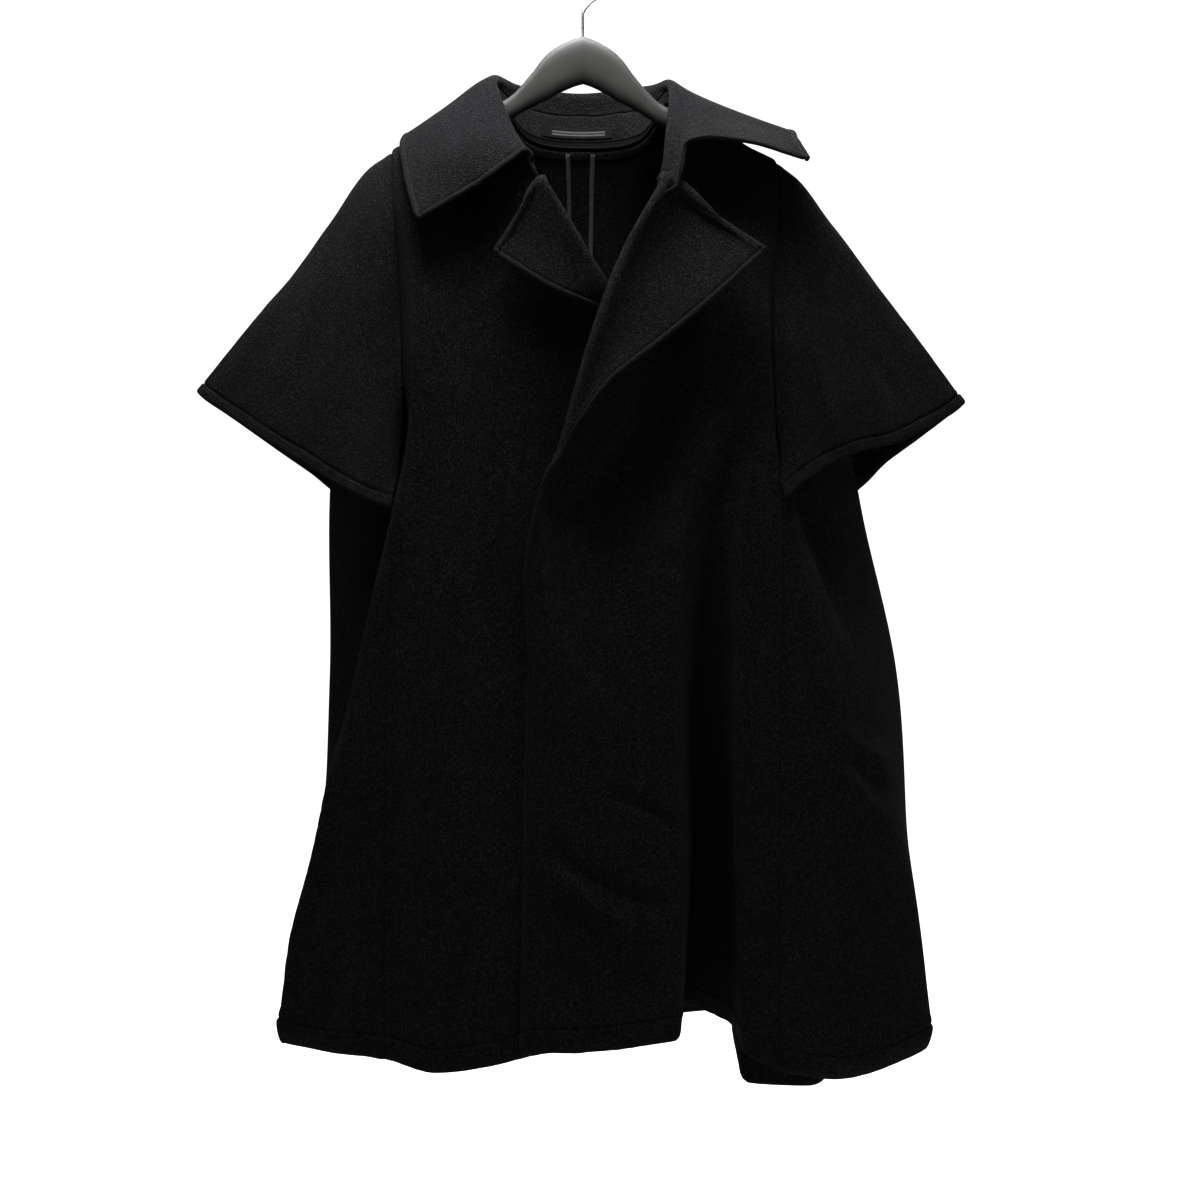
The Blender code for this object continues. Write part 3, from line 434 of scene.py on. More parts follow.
# Body lines: name, where it starts, (x, y) at each height, hem (x, y, z).
# A start is the x of a point on the ridge, ("neck", station), or None for a line
# that runs straight up from its third knot.
BODY = (
    ("left hinge", ("neck", 8.0),
     ((77, -90), (46, -94), (24, -96), (-5, -96), (-23, -88), (-5, -84), (-5, -84)),
     (-8, -82, -1124)),
    ("left neckline", ("neck", 7.0),
     ((82, -74), (62, -80), (52, -80), (30, -74), (5, -74), (7, -82), (7, -84)),
     (4, -82, -1123)),
    ("left centre", ("neck", 6.0),
     ((105, -50), (98, -57), (93, -60), (70, -60), (38, -65), (26, -82), (26, -85)),
     (26, -83, -1121)),
    ("left fold", 118,
     ((124, -50), (134, -58), (140, -62), (150, -74), (102, -83), (90, -89), (96, -91)),
     (93, -88, -1110)),
    ("left valley", 144,
     ((150, -46), (160, -56), (166, -62), (173, -66), (138, -62), (118, -32), (120, 8)),
     (111, 45, -1106)),
    ("left return", 158,
     ((164, -44), (172, -54), (177, -60), (182, -66), (155, -67), (145, -42), (149, -14)),
     (158, 12, -1120)),
    ("left rise", 172,
     ((178, -42), (184, -52), (188, -58), (190, -66), (171, -76), (160, -68), (158, -62)),
     (164, -57, -1129)),
    ("left front seam", 200,
     ((203, -33), (198, -44), (194, -54), (196, -63), (202, -70), (200, -74), (198, -72)),
     (199, -63, -1146)),
    ("left flat", None,
     ((207, -48),) * 4 + ((213, -67), (231, -76), (268, -70)), (267, -59, -1158)),
    ("left crease", None,
     ((214, -30),) * 4 + ((218, -52), (269, -61), (334, -33)), (363, -26, -1132)),
    ("left side", None,
     ((278, 32),) * 4 + ((296, 37), (333, 31), (345, 40)), (347, 42, -1148)),
    ("left hind", None,
     ((258, 64),) * 4 + ((278, 73), (310, 84), (322, 94)), (331, 92, -1152)),
    ("left back seam", 200,
     ((205, 38), (207, 51), (210, 62), (217, 77), (228, 91), (250, 104), (268, 106)),
     (283, 88, -1156)),
    ("left outer", 172,
     ((173, 54), (175, 70), (177, 82), (180, 94), (186, 105), (205, 108), (226, 74)),
     (240, 26, -1186)),
    ("left flute", 144,
     ((140, 62), (138, 76), (138, 86), (138, 96), (140, 104), (150, 104), (162, 64)),
     (174, 24, -1182)),
    ("left inner", ("neck", 6.0),
     ((102, 68), (98, 80), (96, 88), (94, 96), (94, 103), (104, 115), (129, 113)),
     (162, 106, -1124)),
    ("left neck", ("neck", 5.0),
     ((54, 74), (50, 84), (48, 90), (46, 96), (45, 100), (45, 112), (52, 118)),
     (60, 116, -1136)),
    ("centre back", ("neck", 4.0),
     ((-4, 77), (-4, 86), (-4, 91), (-4, 95), (-4, 98), (-3, 106), (-2, 112)),
     (0, 112, -1150)),
    ("right neck", ("neck", 3.0),
     ((-54, 74), (-50, 84), (-48, 90), (-46, 96), (-45, 100), (-45, 112), (-45, 118)),
     (-42, 114, -1148)),
    ("right inner", ("neck", 2.0),
     ((-102, 68), (-98, 80), (-96, 88), (-94, 96), (-94, 103), (-95, 114), (-92, 108)),
     (-85, 85, -1158)),
    ("right flute", -144,
     ((-140, 62), (-138, 76), (-138, 86), (-138, 96), (-140, 104), (-145, 108), (-146, 74)),
     (-142, 34, -1172)),
    ("right outer", -172,
     ((-173, 54), (-175, 70), (-177, 82), (-180, 94), (-185, 105), (-198, 108), (-206, 84)),
     (-202, 50, -1164)),
    ("right back seam", -200,
     ((-204, 38), (-206, 51), (-208, 62), (-212, 77), (-222, 91), (-236, 102), (-250, 104)),
     (-268, 98, -1152)),
    ("right hind", None,
     ((-246, 66),) * 4 + ((-258, 74), (-268, 84), (-282, 88)), (-303, 86, -1148)),
    ("right side", None,
     ((-266, 36),) * 4 + ((-271, 38), (-271, 40), (-286, 38)), (-313, 34, -1135)),
    ("right crease", None,
     ((-204, -34),) * 4 + ((-202, -62), (-222, -66), (-274, -50)), (-317, -38, -1123)),
    ("right flat", None,
     ((-196, -50),) * 4 + ((-196, -70), (-209, -75), (-232, -68)), (-256, -58, -1131)),
    ("right front seam", -200,
     ((-195, -34), (-191, -43), (-187, -50), (-183, -63), (-188, -74), (-196, -75), (-198, -72)),
     (-200, -63, -1135)),
    ("right crest", -168,
     ((-170, -50), (-168, -64), (-165, -78), (-172, -83), (-180, -81), (-163, -82), (-153, -84)),
     (-148, -81, -1144)),
    ("right mid", -128,
     ((-122, -54), (-116, -64), (-113, -70), (-112, -75), (-113, -79), (-108, -81), (-98, -81)),
     (-93, -79, -1138)),
    ("right centre", ("neck", 2.0),
     ((-100, -54), (-84, -65), (-66, -69), (-50, -70), (-46, -73), (-46, -75), (-44, -76)),
     (-42, -74, -1127)),
    ("right neckline", ("neck", 1.0),
     ((-52, -76), (-26, -78), (-4, -72), (8, -62), (14, -62), (10, -73), (8, -75)),
     (6, -73, -1123)),
    ("right hinge", ("neck", 0.0),
     ((-35, -85), (-2, -83), (26, -72), (34, -57), (38, -56), (34, -72), (32, -75)),
     (30, -73, -1121)),
)
LINE = {row[0]: at for at, row in enumerate(BODY)}

# Each front's free edge, beyond the hinge, at the ten knots.  Where the fold is
# 180 degrees it is the lapel, turned out on the hinge; lower down it lies flat.
LEFT_EDGE = {
    "edge": ((185, -112, -323), (182, -113, -326), (174, -113, -333), (131, -112, -372),
             (84, -111, -411), (20, -112, -464), (-44, -101, -573), (-55, -83, -745),
             (-60, -81, -935), (-63, -80, -1128)),
    "fold": (180, 180, 180, 180, 180, 165, 40, 0, 0, 0),
    "radius": 6.0,
}
RIGHT_EDGE = {
    "edge": ((-90, -99, -323), (-88, -99, -325), (-79, -99, -331), (-31, -97, -360),
             (30, -78, -386), (46, -56, -468), (55, -56, -568), (58, -72, -745),
             (55, -76, -935), (52, -74, -1120)),
    "fold": (180, 180, 180, 180, 100, 20, 0, 0, 0, 0),
    "radius": 5.0,
}


def neck_line(station):
    """Point of the neck seam at a collar station, 0 at the right end to 8: on the
    smooth curve through the first points of the collar's rows."""
    seam = np.array([row[0] for row in COLLAR.values()], float)
    return smooth(np.arange(len(seam)), seam, station)


def line_knots():
    """Every body line's ten knots, from its start down to its hem.

    The second lies 0.38 of the way from the start to the third.  Where the cloth
    rounds the hanger it lies half way across, at the rounding's depth and drop.
    """
    knots = np.zeros((len(BODY), len(DOWN), 3))
    for row, (_, start, middle, hem) in enumerate(BODY):
        knots[row, 2:-1, :2] = middle
        knots[row, 2:-1, 2] = HEIGHTS
        knots[row, -1] = hem
        if start is None:
            knots[row, :2] = knots[row, 2]
        elif isinstance(start, tuple):
            knots[row, 0] = neck_line(np.array([start[1]]))[0]
            knots[row, 1] = 0.62 * knots[row, 0] + 0.38 * knots[row, 2]
        else:
            knots[row, 0] = (start, 0.0, ridge_height(start))
        if start in OVER_HANGER or isinstance(start, int):
            half, drop = RIDGE_ROUND if isinstance(start, int) else NECK_ROUND
            knots[row, 1, 0] = 0.5 * (knots[row, 0, 0] + middle[0][0])
            knots[row, 1, 1] = np.sign(middle[0][1]) * half
            knots[row, 1, 2] = knots[row, 0, 2] - drop
    return knots


BODY_KNOTS = line_knots()
FROM_NECK = np.array([isinstance(row[1], tuple) for row in BODY])


def body_points(across, down):
    """Points of the body surface on the grid of places across and distances down.

    Each knot is blended smoothly from line to line.  Between lines that start at the
    neck, the first is set on the neck seam and the second moves as far, plus the
    flare; elsewhere the first is set on the ridge.  A smooth curve runs down them.
    """
    knots = smooth(np.arange(len(BODY)), BODY_KNOTS, across, monotone=True)
    on_neck = FROM_NECK[np.floor(across).astype(int)] & FROM_NECK[np.ceil(across).astype(int)]
    necks = np.flatnonzero(FROM_NECK)
    station = np.interp(across, necks, [BODY[at][1][1] for at in necks])
    onto_neck = neck_line(station) - knots[:, 0]
    knots[on_neck, :2] += onto_neck[on_neck, None]
    knots[on_neck, 1, 0] += np.interp(station, *np.array(NECK_FLARE).T)[on_neck]
    on_ridge = ~on_neck & (np.abs(knots[:, 0, 0]) > NECK_POINT)
    knots[on_ridge, 0, 2] = ridge_height(knots[on_ridge, 0, 0])
    return np.swapaxes(smooth(DOWN, np.swapaxes(knots, 0, 1), down), 0, 1)


def places(first, last):
    """Places across the body from one named line to another, in even cells between
    neighbouring lines."""
    at, end = LINE[first], LINE[last]
    way = 1 if end > at else -1
    spans = [np.linspace(a, a + way, CELLS, endpoint=False) for a in range(at, end, way)]
    return np.concatenate(spans + [[end]])


def lapel(hinge, before, down, edge):
    """Rows from the free edge to the hinge, of the cloth turned out round the hinge.

    The roll is an arc in the plane square to the hinge: hinge + onward (radius sin a
    + flat) + outward radius (1 - cos a), where a runs from 0 to the table's fold and
    flat grows as the fold opens.  From the arc's end a cubic runs to the edge.
    """
    target = smooth(DOWN, edge["edge"], down)
    turn = np.radians(smooth(DOWN, edge["fold"], down, monotone=True))[:, None]
    radius = edge["radius"] * np.interp(down, (0, 45), (0.4, 1.0))[:, None]
    pull = np.interp(down, (0, 70), (0.12, 1.0))[:, None]
    along = unit(np.gradient(hinge, axis=0))
    onward = hinge - before
    below_top = np.argmax(down >= LAPEL_STEADY)
    onward[:below_top] = onward[below_top]
    onward = unit(onward - along * np.sum(onward * along, axis=1, keepdims=True))
    outward = np.cross(along, onward)
    outward *= np.where(outward[:, 1:2] > 0, -1.0, 1.0)
    reach = np.linalg.norm(target - hinge, axis=1, keepdims=True)
    share = np.linspace(0.0, 1.0, 17)[1:, None, None]
    angle = turn * share
    flat = (1.0 - turn / np.pi) * share * reach / 2.0
    arc = (hinge + onward * (radius * np.sin(angle) + flat)
           + outward * radius * (1.0 - np.cos(angle)))
    start = arc[-1]
    leaving = onward * np.cos(turn) + outward * np.sin(turn)
    chord = np.linalg.norm(target - start, axis=1, keepdims=True)
    arriving = unit(unit(target - start) + 0.25 * outward)
    t = np.linspace(0.0, 1.0, 61)[1:, None, None]
    flap = cubic(t, start, leaving * chord * pull, target, arriving * chord)
    return np.concatenate([flap[::-1], arc[::-1]])


def grid_normals(grid):
    """Unit normals of a grid: the cross product of its two gradients."""
    return unit(np.cross(np.gradient(grid, axis=0), np.gradient(grid, axis=1)))


def run_length(points):
    """Distance from the first point along a line, or down each column of a grid."""
    step = np.linalg.norm(np.diff(points, axis=0), axis=-1)
    return np.concatenate([np.zeros((1, *step.shape[1:])), np.cumsum(step, axis=0)])


def on_line(at, length, line):
    """Points or vectors at distances along a line whose own lengths are given."""
    return np.stack([np.interp(at, length, line[:, axis]) for axis in range(3)], -1)


def lengthen(grid, first, last):
    """A grid whose first and last rows are drawn out along the surface."""
    grid = grid.copy()
    grid[0] += unit(grid[0] - grid[1]) * first
    grid[-1] += unit(grid[-1] - grid[-2]) * last
    return grid


def by_length(grid, near, far, cell):
    """The grid with rows at set distances from both ends and even ones between.

    Also each row's distance along the surface from the first end, by column.
    """
    length = run_length(grid)
    total = length[-1]
    room = total - near[-1] - far[-1]
    share = np.linspace(0.0, 1.0, int(np.ceil(room.max() / cell)) + 1)
    place = np.concatenate([near[:, None] + 0 * total, near[-1] + share[1:-1, None] * room,
                            total - far[::-1, None]])
    made = np.stack([on_line(place[:, column], length[:, column], grid[:, column])
                     for column in range(grid.shape[1])], 1)
    return made, place


def spaced(grid, kinds, cell):
    """The grid spaced by length both ways to suit its edges' tables, and distances
    of its rows from the first and of its columns from the first."""
    grid, across = by_length(grid, kinds[0][:, 0], kinds[1][:, 0], cell)
    grid, down = by_length(np.swapaxes(grid, 0, 1), kinds[2][:, 0], kinds[3][:, 0], cell)
    return np.swapaxes(grid, 0, 1).copy(), across, down.T


# Half thickness of the cloth, outside and inside, by distance from an edge.
RIM = np.array([(0, 0.15, 0.15), (0.3, 0.9, 0.9), (0.8, 1.45, 1.45), (1.6, 1.9, 1.9),
                (2.8, 2.25, 2.25), (4, 2.1, 2.1), (5, 1.65, 1.65), (5.7, 0.95, 0.95),
                (6.3, 0.45, 0.45), (7.1, 0.9, 0.9), (8.6, 1.45, 1.45), (11.5, 1.3, 1.3)])
SEAM = np.array([(0, 0.12, 0.15), (0.3, 0.3, 0.8), (0.9, 0.65, 1.7), (2, 1.25, 2.2),
                 (3.8, 1.75, 2.3), (5.6, 1.85, 2.3), (7.2, 1.8, 2.3), (8.3, 1.7, 2.3),
                 (9, 1.6, 2.25), (9.7, 1.55, 2.1), (11, 1.4, 1.5), (13.5, 1.3, 1.3)])
HEM = np.array([(0, 0.15, 0.15), (0.3, 0.9, 0.95), (0.9, 1.5, 1.7), (2, 1.9, 2.5),
                (4.5, 2.0, 3.1), (9, 1.7, 3.2), (14, 1.6, 3.2), (19, 1.85, 3.2),
                (22.0, 2.0, 3.1), (23.9, 1.55, 2.9), (25, 0.2, 2.3), (26.2, 0.7, 1.7),
                (28.2, 1.5, 1.35), (31, 1.75, 1.3), (36, 1.3, 1.3)])


def gather(at, height):
    """Small uneven puckers by distance along a stitched edge.

    Two sines, 18 and 52 mm long, whose phase and height drift with slower sines.
    """
    short = np.sin(at / 2.9 + 1.3 * np.sin(at / 17.0)) * (0.6 + 0.4 * np.sin(at / 41.0))
    long = np.sin(at / 8.3 + 2.0 * np.sin(at / 53.0)) * (0.7 + 0.3 * np.sin(at / 97.0))
    return height * (0.8 * short + long)


def crease(points, table):
    """Height of soft folds over points seen from the front or the back.

    A row is the fold's two ends (x, z), how far its middle bows, its half width and
    its height.  A fold adds height exp(-(d / half width)^2) at distance d from its
    bowed line, times a smooth step over 0.3 of its length at each end.
    """
    height = np.zeros(points.shape[:-1])
    for x0, z0, x1, z1, bow, wide, high in table:
        run = np.array((x1 - x0, z1 - z0), float)
        length = np.hypot(*run)
        run /= length
        dx, dz = points[..., 0] - x0, points[..., 2] - z0
        t = np.clip((dx * run[0] + dz * run[1]) / length, 0.0, 1.0)
        off = dx * run[1] - dz * run[0] - bow * 4 * t * (1 - t)
        fade = np.clip(np.minimum(t / 0.3, (1 - t) / 0.3), 0.0, 1.0)
        height += high * np.exp(-(off / wide) ** 2) * fade * fade * (3 - 2 * fade)
    return height


FRONT_FOLDS = (
    (-198, -240, -197, -585, -8, 7, -5.0), (208, -240, 207, -585, 8, 7, -4.0),
    (-225, -770, -312, -1100, 0, 7, 8.0), (-240, -760, -300, -1000, 0, 8, -6.0),
    (-45, -600, 120, -500, 0, 55, -10.0),
    (-176, -420, -150, -640, 5, 14, -2.6), (-100, -560, -84, -1010, -7, 20, -3.0),
    (-130, -700, -121, -1090, 5, 16, 2.6), (-30, -600, -44, -1080, 6, 18, 2.6),
    (-240, -640, -262, -840, 3, 10, -2.6), (-150, -250, -120, -520, 8, 15, 2.4),
    (-46, -905, 96, -978, 12, 8, -4.6), (-48, -925, 70, -1004, 9, 8, 4.0),
    (10, -862, 100, -898, -6, 7, -3.8), (-30, -960, 60, -1040, 6, 11, -2.8),
    (-20, -560, 60, -450, 6, 8, 2.6), (-38, -610, 44, -515, 5, 7, -2.2),
    (120, -300, 96, -560, -8, 16, 3.0), (150, -330, 140, -620, 6, 12, -2.8),
    (70, -480, 60, -800, 5, 22, -2.6), (40, -640, 20, -1060, -6, 18, 2.4),
    (258, -812, 326, -872, 6, 8, -3.8), (254, -796, 330, -838, 7, 8, 2.8),
    (268, -840, 318, -905, 4, 7, 3.0), (205, -560, 262, -900, 8, 12, -3.2),
    (226, -600, 300, -1000, 6, 16, 3.2), (250, -900, 262, -1130, -4, 14, -2.6),
    (-215, -230, -330, -470, -6, 16, 2.8), (-240, -240, -290, -500, 5, 12, -2.8),
    (-300, -330, -380, -470, 4, 9, 2.2), (215, -230, 310, -490, 6, 16, -2.8),
    (245, -260, 370, -450, 6, 12, 2.8), (222, -330, 262, -520, 4, 10, 3.0),
    (290, -400, 345, -480, 4, 8, -2.4),
)
SIDE_FOLDS = (            # under the arms; a sleeve takes them near its seam alone
    (-163, -480, -276, -960, -1, 7, 8.0), (-181, -470, -293, -960, -2, 13, -15.0),
    (-177, -440, -228, -680, 0, 11, -9.0), (180, -480, 268, -730, 0, 8, 3.5),
    (194, -480, 282, -730, 0, 12, -9.0),
)
BACK_FOLDS = (
    (-60, -240, -92, -700, 6, 16, 2.0), (60, -250, 96, -620, -6, 18, 1.8),
    (-190, -260, -104, -430, 8, 12, -2.0), (190, -265, 112, -440, -8, 13, -1.8),
    (-30, -760, 30, -1090, 7, 22, -1.8), (-120, -600, -150, -1000, 6, 20, 2.2),
    (110, -560, 150, -930, -8, 22, 2.2), (-220, -520, -262, -900, 4, 16, -2.2),
    (225, -540, 275, -920, 4, 16, 2.2), (40, -820, 116, -895, 6, 10, -1.6),
    (-76, -900, 20, -960, -6, 9, 1.4), (-250, -780, -285, -1080, -5, 14, 2.0),
    (255, -760, 300, -1090, 6, 15, -2.0), (-215, -230, -320, -480, 6, 15, -1.8),
    (-245, -260, -372, -440, -5, 11, 1.6), (215, -235, 318, -490, -6, 15, 1.8),
    (250, -270, 372, -455, 5, 11, -1.6), (-20, -300, -34, -620, 4, 12, -1.4),
)


def wall(name, points, normal, half, material, mark):
    """A closed wall: points + normal x half thickness outside and - inside, joined
    round the rim.  The mark of each point, which the material reads, runs from 1 on
    a free edge, lightened by wear and a painted highlight, to -1 on a seam, darkened
    by painted shade; on a strip it is the share of its width."""
    rows, columns = points.shape[:2]
    high = points + normal * half[0][..., None]
    low = points - normal * half[1][..., None]
    index = np.arange(rows * columns).reshape(rows, columns)
    quads = np.stack([index[:-1, :-1], index[1:, :-1], index[1:, 1:], index[:-1, 1:]],
                     -1).reshape(-1, 4)
    ring = np.concatenate([index[:, 0], index[-1, 1:], index[-2::-1, -1], index[0, -2:0:-1]])
    following = np.roll(ring, -1)
    over = rows * columns
    rim = np.stack([ring, following, following + over, ring + over], -1)
    made = put(name + "_cloth", np.concatenate([low.reshape(-1, 3), high.reshape(-1, 3)]),
               [quads[:, ::-1], quads + over, rim], material)
    layer = made.data.attributes.new("mark", "FLOAT", "POINT")
    layer.data.foreach_set("value", np.tile(mark.ravel(), 2).astype(np.float32))
    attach(made, "root")
    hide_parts(name)
    return made, high, low


def thread(name, lines):
    """Stitches along lines on the cloth, as one thread.

    Each line is its points and the cloth's normals there, pointing out of it.  The
    thread stands 0.3 mm off the cloth and dips 1 mm into it after every stitch.
    """
    points, faces, count = [], [], 0
    for line, normal in lines:
        length = run_length(line)
        at = np.arange(1.5, length[-1] - 1.5, 0.8)
        up = unit(on_line(at, length, normal))
        dip = np.clip((np.abs(at % STITCH - STITCH / 2) - 1.3) / 0.4, 0.0, 1.0)
        path = on_line(at, length, line) + up * (0.3 - 1.3 * dip)[:, None]
        rings = tube(path, up, THREAD, 5)
        points.append(rings.reshape(-1, 3))
        faces.append([part + count for part in ring_faces(*rings.shape[:2])])
        count += rings.shape[0] * rings.shape[1]
    made = put(name + "_stitches", np.concatenate(points),
               [np.concatenate(part) for part in zip(*faces)], cotton)
    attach(made, "root")
    return made


def round_corners(grid, kinds, reach=9.0):
    """Takes the point off each corner between two finished edges.

    Points there move inwards along both edges by 0.25 reach s^2, where s is the
    product of (1 - distance / reach) from the two edges.
    """
    for end, first in ((1, kinds[0]), (-1, kinds[1])):
        for side, second in ((1, kinds[2]), (-1, kinds[3])):
            if first is SEAM or second is SEAM:
                continue
            corner = grid[::end, ::side]
            a, b = first[:, 0], second[:, 0]
            share = np.clip(1 - a / reach, 0, 1)[:, None] * np.clip(1 - b / reach, 0, 1)
            inward = unit(corner[6, 0] - corner[0, 0]) + unit(corner[0, 6] - corner[0, 0])
            corner[:len(a), :len(b)] += 0.25 * reach * (share ** 2)[..., None] * inward


def edge_profile(kind, count, plain):
    """What an edge adds, from it inwards, at distances d: half thickness outside and
    inside over the plain one, wear with a painted highlight exp(-(d / 5)^4), or a
    seam's painted shade exp(-(d / 1.1)^2).
    """
    made = np.zeros((4, count))
    made[:2, :len(kind)] = kind[:, 1:].T - plain
    if kind is SEAM:
        made[3, :len(kind)] = np.exp(-(kind[:, 0] / 1.1) ** 2)
    else:
        made[2, :len(kind)] = np.exp(-(kind[:, 0] / 5.0) ** 4)
    return made


def edge_walls(kinds, shape, plain, least, free=0.0):
    """Half thickness outside and inside over a grid, and its mark: wear with a painted highlight,
    less a seam's painted shade.

    It is the plain one plus what the four edges add, but at least a given one.  Free
    is 1 on rows whose first column is a free edge in place of its own kind.
    """
    half = np.full((2, *shape), plain)
    shades = np.zeros((2, *shape))
    for at, kind in enumerate(kinds):
        made = edge_profile(kind, shape[at // 2], plain)[:, ::1 - 2 * (at % 2)]
        made = made[:, :, None] if at < 2 else made[:, None]
        if at == 2:
            made = made * (1 - free) + edge_profile(RIM, shape[1], plain)[:, None] * free
        half += made[:2]
        shades = np.maximum(shades, made[2:])
    return np.maximum(half, least), shades[0] - shades[1]


def away(name, points):
    """Directions out of a piece: up for sleeves and the collar's leaf, and away from
    the coat's upright axis for all others."""
    if name.startswith("sleeve") or name == "collar_leaf":
        return np.zeros_like(points) + (0.0, 0.0, 1.0)
    return points * (1.0, 1.0, 0.0)


def cloth(name, grid, kinds, probe, cell=4.5, top_lapel=0):
    """A cut piece of felt: its grid spaced by length, folded, and given its wall.

    kinds name the treatment of its first row, last row, first column and last
    column.  probe picks rows whose outer side is known, to tell out from in.
    top_lapel counts the dense rows whose first column is a free edge.  Points move
    along the normal by the folds' height, plus puckers under each finished edge, and
    the hem rolls in by HEM_ROLL times (1 - d / HEM_WIDTH)^2.
    """
    over = [SEAM_OVER if kind is SEAM else 0.0 for kind in kinds]
    grid = lengthen(grid, over[0], over[1])
    grid = np.swapaxes(lengthen(np.swapaxes(grid, 0, 1), over[2], over[3]), 0, 1)
    turned = run_length(grid[:, 0])[top_lapel]
    grid, across, down = spaced(grid, kinds, cell)
    round_corners(grid, (kinds[0], kinds[1], RIM if top_lapel else kinds[2], kinds[3]))
    normal = grid_normals(grid)
    sense = np.sign(np.sum(normal[probe] * away(name, grid[probe])))
    normal *= sense
    facing = np.clip(0.5 - 1.5 * normal[..., 1], 0.0, 1.0)
    near = np.exp(-(down / FOLD_REACH) ** 2) if name.startswith("sleeve") else 1.0
    lie = (crease(grid, FRONT_FOLDS) + crease(grid, SIDE_FOLDS) * near) * facing
    if not top_lapel:
        lie += crease(grid, BACK_FOLDS) * (1 - facing)
    for at, kind in enumerate(kinds):
        if kind is SEAM:
            continue
        inwards = slice(None, None, 1 - 2 * (at % 2))
        outline = np.moveaxis(grid, at // 2, 0)[inwards][0]
        rows = np.moveaxis(lie, at // 2, 0)[inwards][:len(kind) - 1]
        part = np.sin(np.pi * np.linspace(0.1, 0.9, len(rows)))[:, None]
        rows += part * gather(run_length(outline), RIM_PUCKER if kind is RIM else HEM_PUCKER)
        if kind is HEM:
            roll = np.interp(np.abs(outline[:, 0]), *HEM_ROLL)
            rows -= np.clip(1 - kind[:len(rows), :1] / HEM_WIDTH, 0, 1) ** 2 * roll
    grid = grid + normal * lie[..., None]
    normal = grid_normals(grid) * sense
    free = np.clip((turned - across[:, :1]) / 3.0 + 0.5, 0.0, 1.0) if top_lapel else 0.0
    half, mark = edge_walls(kinds, grid.shape[:2], CLOTH / 2, 0.1, free)
    return *wall(name, grid, normal, half, felt, mark), normal


def blend(tree, factor, first, second, kind="MIX"):
    """A mix of two colours by a factor."""
    node = tree.nodes.new("ShaderNodeMix")
    node.data_type = "RGBA"
    node.blend_type = kind
    feed(tree, node, Factor=factor, A=first, B=second)
    return node.outputs["Result"]


felt, tree, shader = finish("felted wool", (0.0065, 0.0067, 0.0078), 0.95,
                            Sheen_Weight=0.045, Sheen_Roughness=0.55,
                            Sheen_Tint=(0.8, 0.81, 0.84, 1.0), Specular_IOR_Level=0.05)
group = bpy.data.node_groups.new("felted nap", "ShaderNodeTree")
for socket, way, kind in (("Worn", "INPUT", "Float"), ("Color", "OUTPUT", "Color"),
                          ("Roughness", "OUTPUT", "Float"), ("Normal", "OUTPUT", "Vector")):
    group.interface.new_socket(socket, in_out=way, socket_type="NodeSocket" + kind)
# Its one input is the mark: wear and a painted highlight on free edges, painted shade in seams.
mark = group.nodes.new("NodeGroupInput").outputs["Worn"]
result = group.nodes.new("NodeGroupOutput")
clump = noise(group, 640.0, 3.5, (1.0, 1.0, 0.75), 0.62, 0.6)
fibre = noise(group, 1300.0, 3.0, (1.0, 1.0, 0.45), 0.7, 1.5)
patch = noise(group, 26.0, 3.0, (1.0, 1.0, 0.6))
lint = noise(group, 170.0, 2.0, (1.0, 1.0, 0.6), 0.5, 3.0)
tone = maths(group, "ADD", maths(group, "MULTIPLY", clump, 0.75),
             maths(group, "MULTIPLY", fibre, 0.25))
colour = ramp(group, tone, ((0.38, (0.0016, 0.0017, 0.0019)), (0.47, (0.0052, 0.0054, 0.0059)),
                            (0.54, (0.0128, 0.0131, 0.014)), (0.64, (0.038, 0.038, 0.0395))))
colour = blend(group, 1.0, colour, ramp(group, patch, ((0.3, 0.82), (0.7, 1.18))), "MULTIPLY")
colour = blend(group, ramp(group, lint, ((0.795, 0.0), (0.82, 0.6))), colour,
               (0.11, 0.108, 0.104, 1.0))               # pale lint
colour = blend(group, maths(group, "MULTIPLY", mark, maths(group, "MULTIPLY", clump, 1.1)),
               colour, (0.018, 0.0182, 0.0190, 1.0))    # wear on free edges, and a painted highlight there
colour = blend(group, maths(group, "MULTIPLY", mark, -0.9),
               colour, (0.0005, 0.0005, 0.0006, 1.0))   # painted shade: the dark line of shadow in a seam's groove
feed(group, result, Color=colour, Normal=bump(group, tone, 0.006),
     Roughness=ramp(group, clump, ((0.3, 0.98), (0.7, 0.88))))
nap = tree.nodes.new("ShaderNodeGroup")
nap.node_tree = group
# The mark lightens free edges with wear and a painted highlight, and darkens seams with painted
# shade.
wear_and_painted_light = tree.nodes.new("ShaderNodeAttribute")
wear_and_painted_light.attribute_name = "mark"
feed(tree, nap, Worn=wear_and_painted_light.outputs["Fac"])
feed(tree, shader, Base_Color=nap.outputs["Color"], Roughness=nap.outputs["Roughness"],
     Normal=nap.outputs["Normal"])

cotton, tree, shader = finish("sewing thread", (0.008, 0.008, 0.0092), 0.6,
                              Specular_IOR_Level=0.3)
twist = noise(tree, 2400.0, 2.0)
feed(tree, shader, Normal=bump(tree, twist, 0.0001),
     Base_Color=ramp(tree, twist, ((0.35, (0.006, 0.006, 0.007)),
                                   (0.65, (0.013, 0.013, 0.0145)))))

